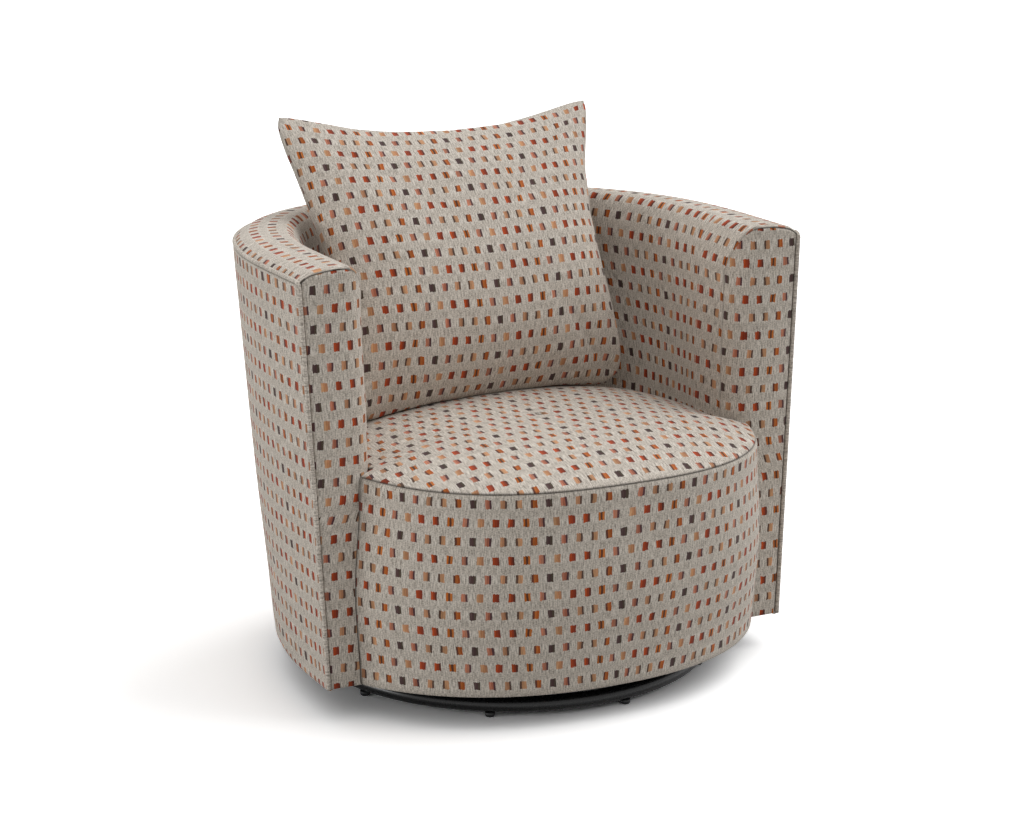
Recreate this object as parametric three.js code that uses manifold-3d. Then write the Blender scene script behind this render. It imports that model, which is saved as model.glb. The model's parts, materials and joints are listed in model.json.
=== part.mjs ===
import * as THREE from 'three';
import { mergeVertices } from 'three/addons/utils/BufferGeometryUtils.js';
import Module from 'manifold-3d';

// Upholstered barrel chair on a ball bearing swivel, with a loose pillow.
// Millimetres, +Z up. The sitter faces -Y, and the origin is on the floor, on the swivel axis.

const wasm = await Module();
wasm.setup();

// Size of the whole chair
const chairWidth = 890;
const chairDepth = 813;
const rimHeight = 702;
const hemHeight = 55;
const clearance = 0.3;

// Outer walls: how far they draw in from the rim down to the hem, and where the arms end in front
const sideTaper = 31.5;
const backTaper = 20;
const seatOverhang = 223.5;
const armFrontTaper = 13;
const armStraightAtRim = 120;
const armStraightAtHem = 59;
const rimSquareness = 2.39;
const hemSquareness = 2.2;
const armFrontAtRim = chairDepth / 2 - seatOverhang;
const armFrontAtHem = armFrontAtRim + armFrontTaper;
const archStartAtRim = armStraightAtRim - armFrontAtRim;
const archStartAtHem = armStraightAtHem - armFrontAtHem;

// Seat drum: the front border between the seam and the hem
const seamHeight = 391;
const seamReach = 43;
const seamSquareness = 2.6;
const drumFlare = 33;
const drumFrontTaper = 28;
const drumSquarenessAtHem = 2.2;
const borderBulge = 7;
const seatCrownRise = 43;
const crownPower = 3.2;

// Inner walls
const armWidth = 118;
const backThickness = 67.5;
const backLean = 137;
const lumbarRise = 39;
const rollDrop = 57;
const crownRise = 16.5;
const frontCornerRadius = 45;
const tuckedCornerRadius = 8;
const innerSquareness = 2.4;
const innerWidth = chairWidth - 2 * armWidth;
const innerBackAtRim = chairDepth / 2 - backThickness;
const innerBackAtSeat = innerBackAtRim - backLean;
const lumbarHeight = seamHeight + lumbarRise;
const rollFootHeight = rimHeight - rollDrop;
const seamHalfWidth = innerWidth / 2 + seamReach;
const drumHalfWidthAtHem = seamHalfWidth + drumFlare;

// Cloth and padding
const coverThickness = 3;
const weltDiameter = 7;
const weltProud = 2.5;
const weltCornerRadius = 9;
const wallFoam = 50;
const borderFoamThickness = 15;
const foamEdgeInset = 10;
const shelfDropShare = 0.4;

// Timber frame
const frameInset = 8.5;
const railWidth = 27.5;
const plywood = 18;
const topRailDrop = 59;
const seatBuildUp = 79;
const hemTuck = 2;
const seatFrameSideRim = 96;
const seatFrameFrontRim = 116;
const seatFrameBackRim = 62;
const hemFrameSideRim = 165;
const hemFrameFrontRim = 148;
const hemFrameBackRim = 136;
const armPostDepth = 60;
const postGap = 2;
const frameRelief = 6;
const postWidth = 60;
const sidePostAngle = 20;
const backPostAngle = 62;
const frontPostSize = 38;
const frontPostShare = 0.4;
const frontPostRoom = 9;
const topRailBase = rimHeight - topRailDrop;
const seatFrameBase = seamHeight - seatBuildUp;
const hemFrameBase = hemHeight + hemTuck;
const seatFrameHoleHalfWidth = innerWidth / 2 - seatFrameSideRim;
const seatFrameHoleFront = chairDepth / 2 - seatFrameFrontRim;
const seatFrameHoleBack = innerBackAtSeat - seatFrameBackRim;
const hemFrameHoleHalfWidth = chairWidth / 2 - sideTaper - hemFrameSideRim;
const hemFrameHoleFront = chairDepth / 2 - drumFrontTaper - hemFrameFrontRim;
const hemFrameHoleBack = chairDepth / 2 - backTaper - hemFrameBackRim;

// Springs and deck
const springWire = 4;
const springLoops = 7;
const springSwing = 20;
const springArch = 13;
const springInnerShare = 0.366;
const springBearingShare = 0.416;
const springBackGap = 6;
const wallRelief = 3.5;
const neckStep = 3;
const deckThickness = 4;

// Swivel
const ballDiameter = 9.5;
const raceRadius = 95;
const grooveDepth = 1.5;
const plateThickness = 4;
const plateRim = 20;
const upperPlateRim = 45;
const kingPinDiameter = 16;
const kingPinHead = 28;
const kingPinHeadHeight = 3;
const cageThickness = 2.5;
const cageWidth = 24;
const ballCount = 8;
const dustCoverThickness = 1;
const dustCoverHole = 20;
const screwDiameter = 8;
const screwHead = 13;
const screwHeadHeight = 4.2;
const screwLength = 32;
const screwTip = 5;
const screwOutset = 25.4;
const screwAngle = 48.4;
const crossRailWidth = 60;
const crossRailThickness = 20;
const plateRadius = raceRadius + plateRim;
const upperPlateRadius = raceRadius + upperPlateRim;
const screwRadius = raceRadius + screwOutset;
const screwX = screwRadius * Math.cos((screwAngle * Math.PI) / 180);
const screwY = screwRadius * Math.sin((screwAngle * Math.PI) / 180);

// Floor ring
const ringRadius = 325;
const ringTube = 25;
const glideHeight = 7.7;
const glideDiameter = 16;
const glideCount = 9;
const glidePhase = -82;
const glideFootShare = 0.85;
const glideChamferShare = 0.2;
const strapWidth = 40;
const strapThickness = 5;
const strapRampOuter = 235;
const strapRampInner = 180;
const strapHole = 20;

// Pillow
const pillowSideRoom = 134;
const pillowThickness = 154;
const pillowEdge = 7;
const pillowWall = 2;
const pillowLean = 32;
const pillowOffsetX = 6;
const pillowBackGap = 3;
const pillowSideDipShare = 0.02;
const pillowHeadDipShare = 0.11;
const pillowFootDipShare = 0.02;
const pillowSpreadShare = 0.065;
const pillowPuff = 0.42;
const zipLength = 400;
const zipWidth = 9;
const zipThickness = 2.4;
const pillowSize = innerWidth - pillowSideRoom;

// The rim's section: share of the way across from welt to inner wall, with the share of the crown's
// rise over the welt, then with the share of the crown's height over the foot of the inner roll
const crownShares = [[0.072, 0.1], [0.2, 0.66], [0.4, 0.92], [0.6, 1]];
const rollShares = [[0.74, 0.977], [0.85, 0.83], [0.93, 0.6], [0.985, 0.286], [1, 0]];
const innerWallShares = [0.25, 0.55, 0.8, 1];

// Facets of the large sweeps
const stationCount = 24;
const straightStations = 2;
const straightShare = straightStations / stationCount;
const raceFacets = 32;
const ringFacets = 40;
const tubeFacets = 8;
const weltFacets = 6;
const springFacets = 4;
const pinFacets = 16;
const smallFacets = 10;
const holeFacets = 12;
const searchSteps = 30;
const settleSteps = 6;

const fabricColor = 0xa89f95;
const foamColor = 0xe9dfc3;
const timberColor = 0xc9a57a;
const steelColor = 0x8d9092;
const blackColor = 0x17181a;
const nylonColor = 0x232425;

const object = new THREE.Group();
const base = new THREE.Group();
const bearing = new THREE.Group();
const chair = new THREE.Group();
const pillow = new THREE.Group();
object.add(base, bearing, chair);
chair.add(pillow);
const axisZ = new THREE.Vector3(0, 0, 1);

const mix = (start, end, share) => start + (end - start) * share;
const clampShare = (value) => Math.min(Math.max(value, 0), 1);
const radians = (degrees) => THREE.MathUtils.degToRad(degrees);
const signedPower = (value, power) => Math.sign(value) * Math.abs(value) ** power;

// Surface finish by kind of material
function finish(color, roughness, metalness) {
  return new THREE.MeshStandardMaterial({ color, roughness, metalness });
}

const finishes = {
  fabric: () => finish(fabricColor, 0.95, 0),
  foam: () => finish(foamColor, 0.95, 0),
  timber: () => finish(timberColor, 0.7, 0),
  steel: () => finish(steelColor, 0.4, 1),
  black: () => finish(blackColor, 0.35, 0.3),
  nylon: () => finish(nylonColor, 0.5, 0),
  cloth: () => finish(blackColor, 0.95, 0),
};

function addPiece(name, geometry, kind, parent = chair) {
  const piece = new THREE.Mesh(geometry, finishes[kind]());
  piece.name = name;
  parent.add(piece);
  return piece;
}

// Welded copy of a geometry: position and faces only
function welded(geometry) {
  geometry.deleteAttribute('normal');
  geometry.deleteAttribute('uv');
  return mergeVertices(geometry);
}

function toManifold(geometry) {
  const closed = welded(geometry);
  return new wasm.Manifold(new wasm.Mesh({
    numProp: 3,
    vertProperties: new Float32Array(closed.getAttribute('position').array),
    triVerts: new Uint32Array(closed.getIndex().array),
  }));
}

function fromManifold(solid) {
  const result = solid.getMesh();
  const geometry = new THREE.BufferGeometry();
  geometry.setAttribute('position', new THREE.BufferAttribute(result.vertProperties, 3));
  geometry.setIndex(new THREE.BufferAttribute(result.triVerts, 1));
  geometry.computeVertexNormals();
  return geometry;
}

function cut(geometry, ...tools) {
  return fromManifold(tools.reduce((solid, tool) => solid.subtract(toManifold(tool)), toManifold(geometry)));
}

function join(geometry, other) {
  return fromManifold(toManifold(geometry).add(toManifold(other)));
}

// Turns the faces of a closed shape outwards, by the sign of its volume
function facingOut(geometry) {
  const position = geometry.getAttribute('position');
  const index = geometry.getIndex().array;
  const [a, b, c] = [new THREE.Vector3(), new THREE.Vector3(), new THREE.Vector3()];
  let volume = 0;
  for (let i = 0; i < index.length; i += 3) {
    a.fromBufferAttribute(position, index[i]);
    b.fromBufferAttribute(position, index[i + 1]);
    c.fromBufferAttribute(position, index[i + 2]);
    volume += a.dot(b.cross(c));
  }
  if (volume < 0) {
    for (let i = 0; i < index.length; i += 3) {
      [index[i], index[i + 1]] = [index[i + 1], index[i]];
    }
  }
  geometry.computeVertexNormals();
  return geometry;
}

// Closed solid between two grids of points that have as many rows and columns as each other
function solidBetween(front, back) {
  const rows = front.length;
  const columns = front[0].length;
  const at = (side, i, j) => (side * rows + i) * columns + j;
  const index = [];
  const quad = (a, b, c, d) => index.push(a, b, c, a, c, d);
  for (let i = 0; i < rows - 1; i++) {
    for (let j = 0; j < columns - 1; j++) {
      quad(at(0, i, j), at(0, i + 1, j), at(0, i + 1, j + 1), at(0, i, j + 1));
      quad(at(1, i, j), at(1, i, j + 1), at(1, i + 1, j + 1), at(1, i + 1, j));
    }
  }
  for (let i = 0, last = columns - 1; i < rows - 1; i++) {
    quad(at(0, i, 0), at(1, i, 0), at(1, i + 1, 0), at(0, i + 1, 0));
    quad(at(0, i, last), at(0, i + 1, last), at(1, i + 1, last), at(1, i, last));
  }
  for (let j = 0, last = rows - 1; j < columns - 1; j++) {
    quad(at(0, 0, j), at(0, 0, j + 1), at(1, 0, j + 1), at(1, 0, j));
    quad(at(0, last, j), at(1, last, j), at(1, last, j + 1), at(0, last, j + 1));
  }
  const geometry = new THREE.BufferGeometry();
  const points = [...front.flat(), ...back.flat()];
  const places = points.flatMap((p) => p.toArray());
  geometry.setAttribute('position', new THREE.Float32BufferAttribute(places, 3));
  geometry.setIndex(index);
  return facingOut(geometry);
}

// The same grid moved along its own normals, a depth below the surface that it covers
function offsetGrid(grid, depth) {
  const lastRow = grid.length - 1;
  const lastColumn = grid[0].length - 1;
  return grid.map((row, i) => row.map((point, j) => {
    const along = grid[Math.min(i + 1, lastRow)][j].clone().sub(grid[Math.max(i - 1, 0)][j]);
    const across = row[Math.min(j + 1, lastColumn)].clone().sub(row[Math.max(j - 1, 0)]);
    const normal = along.cross(across).normalize();
    return point.clone().addScaledVector(normal, depth);
  }));
}

function pointGrid(rows, columns, pointAt) {
  return Array.from({ length: rows }, (_, i) => (
    Array.from({ length: columns }, (__, j) => pointAt(i / (rows - 1), j / (columns - 1), i, j))));
}

// A path whose rings sit on its own listed points, so that a tight corner keeps its rings
class ListedPath extends THREE.Curve {
  constructor(points) {
    super();
    this.points = points;
  }

  getPoint(share) {
    const last = this.points.length - 1;
    const start = Math.min(Math.floor(share * last + Number.EPSILON), last - 1);
    return this.points[start].clone().lerp(this.points[start + 1], share * last - start);
  }

  getPointAt(share) {
    return this.getPoint(share);
  }

  getTangentAt(share) {
    const last = this.points.length - 1;
    const place = Math.round(share * last);
    const next = this.points[Math.min(place + 1, last)];
    return next.clone().sub(this.points[Math.max(place - 1, 0)]).normalize();
  }
}

function cordAlong(points, radius, sides) {
  const corners = Array.from({ length: sides }, (_, k) => {
    const angle = (2 * Math.PI * k) / sides;
    return new THREE.Vector2(-radius * Math.sin(angle), radius * Math.cos(angle));
  });
  return new THREE.ExtrudeGeometry(new THREE.Shape(corners), {
    steps: points.length - 1,
    extrudePath: new ListedPath(points),
  });
}

// A flat plate from an outline, standing on the given height
function plate(outline, thickness, base, holes = []) {
  const shape = new THREE.Shape(outline);
  shape.holes = holes.map((hole) => new THREE.Path(hole));
  return new THREE.ExtrudeGeometry(shape, { depth: thickness, bevelEnabled: false }).translate(0, 0, base);
}

function roundOutline(radius, sides, x = 0, y = 0) {
  return Array.from({ length: sides }, (_, k) => {
    const angle = (2 * Math.PI * k) / sides;
    return new THREE.Vector2(x + radius * Math.cos(angle), y + radius * Math.sin(angle));
  });
}

function boxOutline(left, right, front, back) {
  return [[left, front], [right, front], [right, back], [left, back]].map(([x, y]) => new THREE.Vector2(x, y));
}

// A turned piece: the profile lists radius and height pairs from the axis back to the axis
function turned(profile, sides) {
  const points = profile.map(([radius, height]) => new THREE.Vector2(radius, height));
  return facingOut(welded(new THREE.LatheGeometry(points, sides).rotateX(Math.PI / 2)));
}

// Outer wall in plan at a height
function outerPlan(height) {
  const share = (height - hemHeight) / (rimHeight - hemHeight);
  return {
    halfWidth: mix(chairWidth / 2 - sideTaper, chairWidth / 2, share),
    back: mix(chairDepth / 2 - backTaper, chairDepth / 2, share),
    front: -mix(armFrontAtHem, armFrontAtRim, share),
    archStart: mix(archStartAtHem, archStartAtRim, share),
    squareness: mix(hemSquareness, rimSquareness, share),
  };
}

// Inner wall in plan at a height: it leans back above the small of the back
function innerPlan(height) {
  const share = clampShare((height - lumbarHeight) / (rollFootHeight - lumbarHeight));
  return {
    halfWidth: innerWidth / 2,
    back: mix(innerBackAtSeat, innerBackAtRim, share),
    front: outerPlan(height).front,
    archStart: archStartAtRim,
    squareness: innerSquareness,
  };
}

// Point of a plan at a place between 0 at the left arm's front and 1 at the right arm's front
function planPoint(plan, place, height) {
  const side = place < 0.5 ? -1 : 1;
  const fromFront = Math.min(place, 1 - place) / straightShare;
  if (fromFront < 1) {
    return new THREE.Vector3(side * plan.halfWidth, mix(plan.front, plan.archStart, fromFront), height);
  }
  const angle = Math.PI * (1 - (place - straightShare) / (1 - 2 * straightShare));
  const power = 2 / plan.squareness;
  const x = plan.halfWidth * signedPower(Math.cos(angle), power);
  const y = plan.archStart + (plan.back - plan.archStart) * Math.abs(Math.sin(angle)) ** power;
  return new THREE.Vector3(x, y, height);
}

// Outward direction of the outer wall in plan
function outerNormal(place, height) {
  const step = straightShare / 100;
  const plan = outerPlan(height);
  const before = planPoint(plan, Math.max(place - step, 0), height);
  const after = planPoint(plan, Math.min(place + step, 1), height);
  return after.sub(before).cross(axisZ).negate().normalize();
}

function outerPoint(place, height, inset) {
  return planPoint(outerPlan(height), place, height).addScaledVector(outerNormal(place, height), -inset);
}

const innerPoint = (place, height) => planPoint(innerPlan(height), place, height);
const facingFace = (height) => outerPlan(height).front + weltProud;

// Front edge of an arm's cover at a distance x from the middle, with its rounded inner corner
function armFrontAt(x, height, depth, cornerRadius = frontCornerRadius) {
  const cornerStart = innerWidth / 2 + cornerRadius;
  const radius = cornerRadius - depth;
  const along = THREE.MathUtils.clamp(cornerStart - Math.abs(x), 0, radius);
  return facingFace(height) + cornerRadius - Math.sqrt(radius ** 2 - along ** 2);
}

// Section of the rim, from the welt over the crown to the foot of the inner roll
const rimProfile = [
  ...crownShares.map(([across, share]) => ({ across, height: rimHeight + crownRise * share })),
  ...rollShares.map(([across, share]) => ({
    across,
    height: mix(rollFootHeight, rimHeight + crownRise, share),
  })),
];

// Surface of the cover from the welt over the crown and down the inner wall
const wallBase = seatFrameBase + plywood + 2 * clearance;
const insideRows = rimProfile.length + innerWallShares.length;
const weltGapInset = weltDiameter + clearance;

function insideRow(place, row) {
  if (row < rimProfile.length) {
    const start = outerPoint(place, rimHeight, 0);
    const end = innerPoint(place, rollFootHeight).setZ(rimHeight);
    const share = Math.max(rimProfile[row].across, weltGapInset / start.distanceTo(end));
    return start.lerp(end, share).setZ(rimProfile[row].height);
  }
  const share = innerWallShares[row - rimProfile.length];
  return innerPoint(place, mix(rollFootHeight, wallBase, share));
}

const insideGrid = pointGrid(stationCount + 1, insideRows, (place, _, i, row) => insideRow(place, row));

// Moves the two end rows of a grid onto the arms' front surface, a depth below it
function trimmedToFront(grid, depth, gap) {
  return grid.map((row, i) => {
    if (i > 0 && i < grid.length - 1) {
      return row;
    }
    return row.map((point) => point.clone().setY(armFrontAt(point.x, point.z, depth) + gap));
  });
}

function addInsideCover() {
  const outer = trimmedToFront(insideGrid, 0, 2 * clearance);
  const inner = trimmedToFront(offsetGrid(insideGrid, coverThickness), coverThickness, 2 * clearance);
  addPiece('inside_cover', solidBetween(outer, inner), 'fabric');
}

// Foam of the arms and back: it wraps over the top rail and lines the inner wall
function foamBackPoint(place, row) {
  const top = rimHeight - foamEdgeInset;
  const shelf = topRailBase + plywood + clearance;
  const railInset = frameInset + railWidth + clearance;
  const underShelf = mix(shelf, topRailBase, shelfDropShare);
  const edges = [
    [foamEdgeInset, top],
    [foamEdgeInset, (top + shelf) / 2],
    [foamEdgeInset, shelf],
    [railInset, shelf],
    [railInset, underShelf],
  ];
  if (row < edges.length) {
    return outerPoint(place, edges[row][1], edges[row][0]);
  }
  const share = (row - edges.length + 1) / (insideRows - edges.length);
  const height = mix(underShelf, wallBase, share);
  const inner = innerPoint(place, Math.min(height, rollFootHeight));
  const outer = outerPoint(place, height, railInset);
  inner.setZ(height);
  return inner.lerp(outer, Math.min(wallFoam / inner.distanceTo(outer), 1));
}

function addWallFoam() {
  const depth = coverThickness + clearance;
  const front = trimmedToFront(offsetGrid(insideGrid, depth), depth, clearance);
  const backGrid = insideGrid.map((row, i) => row.map((_, j) => foamBackPoint(i / stationCount, j)));
  const back = trimmedToFront(backGrid, depth, clearance);
  addPiece('arm_and_back_foam', solidBetween(front, back), 'foam');
}

const outsideRowShares = [0, 0.35, 0.7];

function addOutsideCover() {
  const top = rimHeight - weltDiameter / 2 - clearance;
  const rowHeights = [
    ...outsideRowShares.map((share) => mix(hemHeight, top, share)), top - weltCornerRadius, top];
  const rows = rowHeights.length;
  const grid = pointGrid(stationCount + 1, rows, (place, _, i, row) => (
    outerPoint(place, rowHeights[row], weltProud)));
  const trimmed = (points) => points.map((row, i) => {
    const atFront = i === 0 || i === points.length - 1;
    const cornerGap = (j) => weltDiameter + clearance + (j === rows - 1 ? weltCornerRadius : 0);
    return atFront ? row.map((p, j) => p.clone().setY(outerPlan(p.z).front + cornerGap(j))) : row;
  });
  addPiece('outside_cover', solidBetween(trimmed(grid), trimmed(offsetGrid(grid, coverThickness))), 'fabric');
}

// Front of an arm: flat, then round the inner corner, which is tucked in tighter beside the drum
const facingFlatShare = 0.3;
const facingColumns = 9;
const besideDrumShares = [0, 0.5, 0.98];
const aboveSeatShares = [0.02, 0.35, 0.68, 1];

function facingPoint(side, columnShare, height, depth) {
  const cornerRadius = height > seamHeight ? frontCornerRadius : tuckedCornerRadius;
  const cornerStart = innerWidth / 2 + cornerRadius;
  const outerEdge = outerPlan(height).halfWidth - weltGapInset;
  const turn = (clampShare((columnShare - facingFlatShare) / (1 - facingFlatShare)) * Math.PI) / 2;
  const flat = clampShare(columnShare / facingFlatShare);
  const radius = cornerRadius - depth;
  const x = mix(outerEdge, cornerStart, flat) - radius * Math.sin(turn);
  return new THREE.Vector3(side * x, facingFace(height) + cornerRadius - radius * Math.cos(turn), height);
}

// Height of the rim's surface above a point of the arm's front
function rimAboveFront(x) {
  const outer = chairWidth / 2;
  const across = (outer - x) / (outer - innerWidth / 2);
  const next = rimProfile.findIndex((point) => point.across >= across);
  const high = rimProfile[next < 0 ? rimProfile.length - 1 : Math.max(next, 1)];
  const low = rimProfile[rimProfile.indexOf(high) - 1];
  const share = clampShare((across - low.across) / (high.across - low.across));
  return mix(low.height, high.height, share);
}

function addFacing(name, side) {
  const under = coverThickness + 2 * clearance;
  const heights = [
    ...besideDrumShares.map((share) => mix(hemHeight, seamHeight, share)),
    ...aboveSeatShares.map((share) => mix(seamHeight, rollFootHeight, share)),
  ];
  const layer = (depth) => heights.map((height) => (
    Array.from({ length: facingColumns }, (_, j) => {
      const point = facingPoint(side, j / (facingColumns - 1), height, depth);
      if (height === rollFootHeight) {
        const x = Math.abs(point.x);
        const top = Math.min(rimAboveFront(x - under), rimAboveFront(x + under)) - under;
        const slope = outerPlan(top).front - outerPlan(point.z).front;
        point.set(point.x, point.y + slope, Math.max(top, rollFootHeight - coverThickness));
      }
      return point;
    })));
  addPiece(name, solidBetween(layer(0), layer(coverThickness)), 'fabric');
}

// Self welt: up the left arm's front edge, round the rim and down the right arm's front edge
function addWelt() {
  const radius = weltDiameter / 2;
  const points = [];
  const upright = (side, share) => {
    const height = mix(hemHeight, rimHeight - weltCornerRadius, share);
    const plan = outerPlan(height);
    return new THREE.Vector3(side * (plan.halfWidth - radius), plan.front + radius, height);
  };
  const corner = (side, share) => {
    const turn = (share * Math.PI) / 2;
    const plan = outerPlan(rimHeight);
    const y = plan.front + radius + weltCornerRadius * (1 - Math.cos(turn));
    const z = rimHeight - weltCornerRadius * (1 - Math.sin(turn));
    return new THREE.Vector3(side * (plan.halfWidth - radius), y, z);
  };
  const uprightSteps = 3;
  const cornerSteps = 3;
  const rimSteps = stationCount;
  for (let k = 0; k < uprightSteps; k++) {
    points.push(upright(-1, k / uprightSteps));
  }
  for (let k = 0; k <= cornerSteps; k++) {
    points.push(corner(-1, k / cornerSteps));
  }
  for (let k = 1; k < rimSteps; k++) {
    points.push(outerPoint(k / rimSteps, rimHeight, radius));
  }
  for (let k = cornerSteps; k >= 0; k--) {
    points.push(corner(1, k / cornerSteps));
  }
  for (let k = uprightSteps - 1; k >= 0; k--) {
    points.push(upright(1, k / uprightSteps));
  }
  addPiece('welt_cord', cordAlong(points, radius, weltFacets), 'fabric');
}

// Seat drum in plan at a height, drawn in by an inset
const seamFront = chairDepth / 2;
const coverTop = seamHeight - coverThickness - clearance;

function drumPlan(height, inset) {
  const share = (height - hemHeight) / (coverTop - hemHeight);
  const bulge = borderBulge * Math.sin(Math.PI * clampShare(share)) ** 2;
  return {
    halfWidth: mix(drumHalfWidthAtHem, seamHalfWidth, share) + bulge - inset,
    front: mix(seamFront - drumFrontTaper, seamFront, share) + bulge - inset,
    squareness: mix(drumSquarenessAtHem, seamSquareness, share),
  };
}

// Half width of the drum at a distance in front of the axis
function drumHalfWidthAt(forward, plan) {
  return plan.halfWidth * (1 - clampShare(forward / plan.front) ** plan.squareness) ** (1 / plan.squareness);
}

// How far forward the drum's face is at a distance from the middle
function drumFaceAt(x, plan) {
  return plan.front * (1 - clampShare(x / plan.halfWidth) ** plan.squareness) ** (1 / plan.squareness);
}

// Angle round the drum at which it meets the facings
function drumEndAngle(height, inset) {
  const plan = drumPlan(height, inset);
  const reach = drumHalfWidthAt(clearance - facingFace(height), plan);
  return Math.asin((reach / plan.halfWidth) ** (plan.squareness / 2));
}

// Point of the drum's front on one of its rows, from -1 at the left facing to 1 at the right one
function drumRowPoint(place, height, inset) {
  const plan = drumPlan(height, inset);
  const angle = place * drumEndAngle(height, Math.abs(place) === 1 ? inset : 0);
  const power = 2 / plan.squareness;
  const x = plan.halfWidth * signedPower(Math.sin(angle), power);
  return new THREE.Vector3(x, -plan.front * Math.cos(angle) ** power, height);
}

const deckBase = seatFrameBase + plywood + clearance + springWire + springArch + clearance;
const deckTop = deckBase + deckThickness;
const drumStations = 18;
const drumRowShares = [0, 0.25, 0.5, 0.75, 1];
const drumRowHeights = [...drumRowShares.map((share) => mix(hemHeight, deckTop, share)), coverTop];

// The same between the rows, where the surface is straight
function drumPoint(place, height, inset) {
  const next = Math.max(drumRowHeights.findIndex((row) => row >= height), 1);
  const low = drumRowHeights[next - 1];
  const high = drumRowHeights[next];
  return drumRowPoint(place, low, inset).lerp(drumRowPoint(place, high, inset), (height - low) / (high - low));
}

function drumShell(heights, inset, thickness) {
  const layer = (depth) => pointGrid(drumStations + 1, heights.length, (place, _, i, row) => (
    drumPoint(2 * place - 1, heights[row], depth)));
  return solidBetween(layer(inset), layer(inset + thickness));
}

function addBorder() {
  addPiece('seat_border_cover', drumShell(drumRowHeights, 0, coverThickness), 'fabric');
  const heights = [hemFrameBase, ...drumRowHeights.filter((row) => row > hemFrameBase && row <= deckTop)];
  addPiece('seat_border_foam', drumShell(heights, coverThickness + clearance, borderFoamThickness), 'foam');
}

// Distance behind the axis of the inner wall of a plan, at a distance x from the middle
function innerWallBack(x, plan) {
  const reach = plan.back - plan.archStart;
  return plan.archStart + reach * (1 - clampShare(Math.abs(x) / plan.halfWidth) ** plan.squareness)
    ** (1 / plan.squareness);
}

// Half width of the seat's top at a distance y from the axis, an inset inside its edge
function seatHalfWidth(y, height, inset) {
  if (y < facingFace(height) - neckStep / 2) {
    return drumHalfWidthAt(-y, drumPlan(height, inset));
  }
  const plan = innerPlan(height);
  const past = clampShare((y - plan.archStart) / (plan.back - plan.archStart));
  const bend = (1 - past ** plan.squareness) ** (1 / plan.squareness);
  return (plan.halfWidth - wallRelief) * bend - inset;
}

// Rows of the seat: shares of the way from its front edge to the shoulder in front of the facings,
// then from the neck between the facings to its back edge
const seatFrontShares = [0.011, 0.084, 0.25, 0.5, 0.78, 1];
const seatBackShares = [0, 0.18, 0.4, 0.6, 0.77, 0.87, 0.94];
const seatColumns = 12;
const seatBackEdge = innerBackAtSeat - wallRelief;

function seatRowPlaces(height, inset) {
  const neck = facingFace(height) - 2 * clearance;
  const front = inset - drumPlan(height, 0).front;
  return [
    ...seatFrontShares.map((share) => mix(front, neck - neckStep, share)),
    ...seatBackShares.map((share) => mix(neck, seatBackEdge - inset, share)),
  ];
}

// Height of the seat's cover: highest in the middle, level with the seam along its edges
function seatSurface(across, y) {
  const along = (2 * (y + seamFront)) / (seatBackEdge + seamFront) - 1;
  const crown = (1 - Math.abs(across) ** crownPower) * (1 - Math.min(Math.abs(along), 1) ** crownPower);
  return seamHeight + seatCrownRise * crown;
}

function seatGrid(planHeight, inset, surface) {
  return seatRowPlaces(planHeight, inset).map((y) => (
    Array.from({ length: seatColumns + 1 }, (_, j) => {
      const across = Math.sin((((2 * j) / seatColumns - 1) * Math.PI) / 2);
      return new THREE.Vector3(across * seatHalfWidth(y, planHeight, inset), y, surface(across, y));
    })));
}

function addSeat() {
  const layer = (inset, depth) => seatGrid(seamHeight, inset, (across, y) => seatSurface(across, y) - depth);
  addPiece('seat_top_cover', solidBetween(layer(0, 0), layer(coverThickness, coverThickness)), 'fabric');
  const depth = coverThickness + clearance;
  const foot = seatGrid(deckTop, depth + wallRelief, () => deckTop + clearance);
  addPiece('seat_foam', solidBetween(layer(depth + wallRelief, depth), foot), 'foam');
}

// Flat outline: the drum's front from left to right, in past the facings' edges, then round the back
function seatOutline(height, thickness, drumInset, wallPoints) {
  const front = Array.from({ length: drumStations + 1 }, (_, k) => {
    const place = (2 * k) / drumStations - 1;
    const low = drumPoint(place, height, drumInset);
    const high = drumPoint(place, height + thickness, drumInset);
    const reach = Math.min(Math.abs(low.x), Math.abs(high.x));
    return new THREE.Vector2(Math.sign(place) * reach, Math.max(low.y, high.y));
  });
  const neck = Math.min(innerWidth / 2 - 2 * clearance, Math.abs(front[0].x));
  const shoulder = front[0].y;
  const limit = facingFace(height + plywood) + tuckedCornerRadius + clearance;
  const curve = front.filter((point) => point.y < shoulder);
  return [
    new THREE.Vector2(-neck, limit),
    new THREE.Vector2(-neck, shoulder),
    ...curve,
    new THREE.Vector2(neck, shoulder),
    new THREE.Vector2(neck, limit),
    ...wallPoints.map((point) => new THREE.Vector2(point.x, Math.max(point.y, limit))),
  ];
}

// Points round the back, from the right arm's front to the left one
function wallLine(pointAt) {
  return Array.from({ length: stationCount + 1 }, (_, k) => pointAt(1 - k / stationCount));
}

const drumBacking = coverThickness + borderFoamThickness + frameRelief;
const facingBack = weltProud + coverThickness + clearance;
const screwPlaces = [[-1, -1], [1, -1], [1, 1], [-1, 1]].map(([x, y]) => (
  new THREE.Vector2(x * screwX, y * screwY)));

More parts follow.
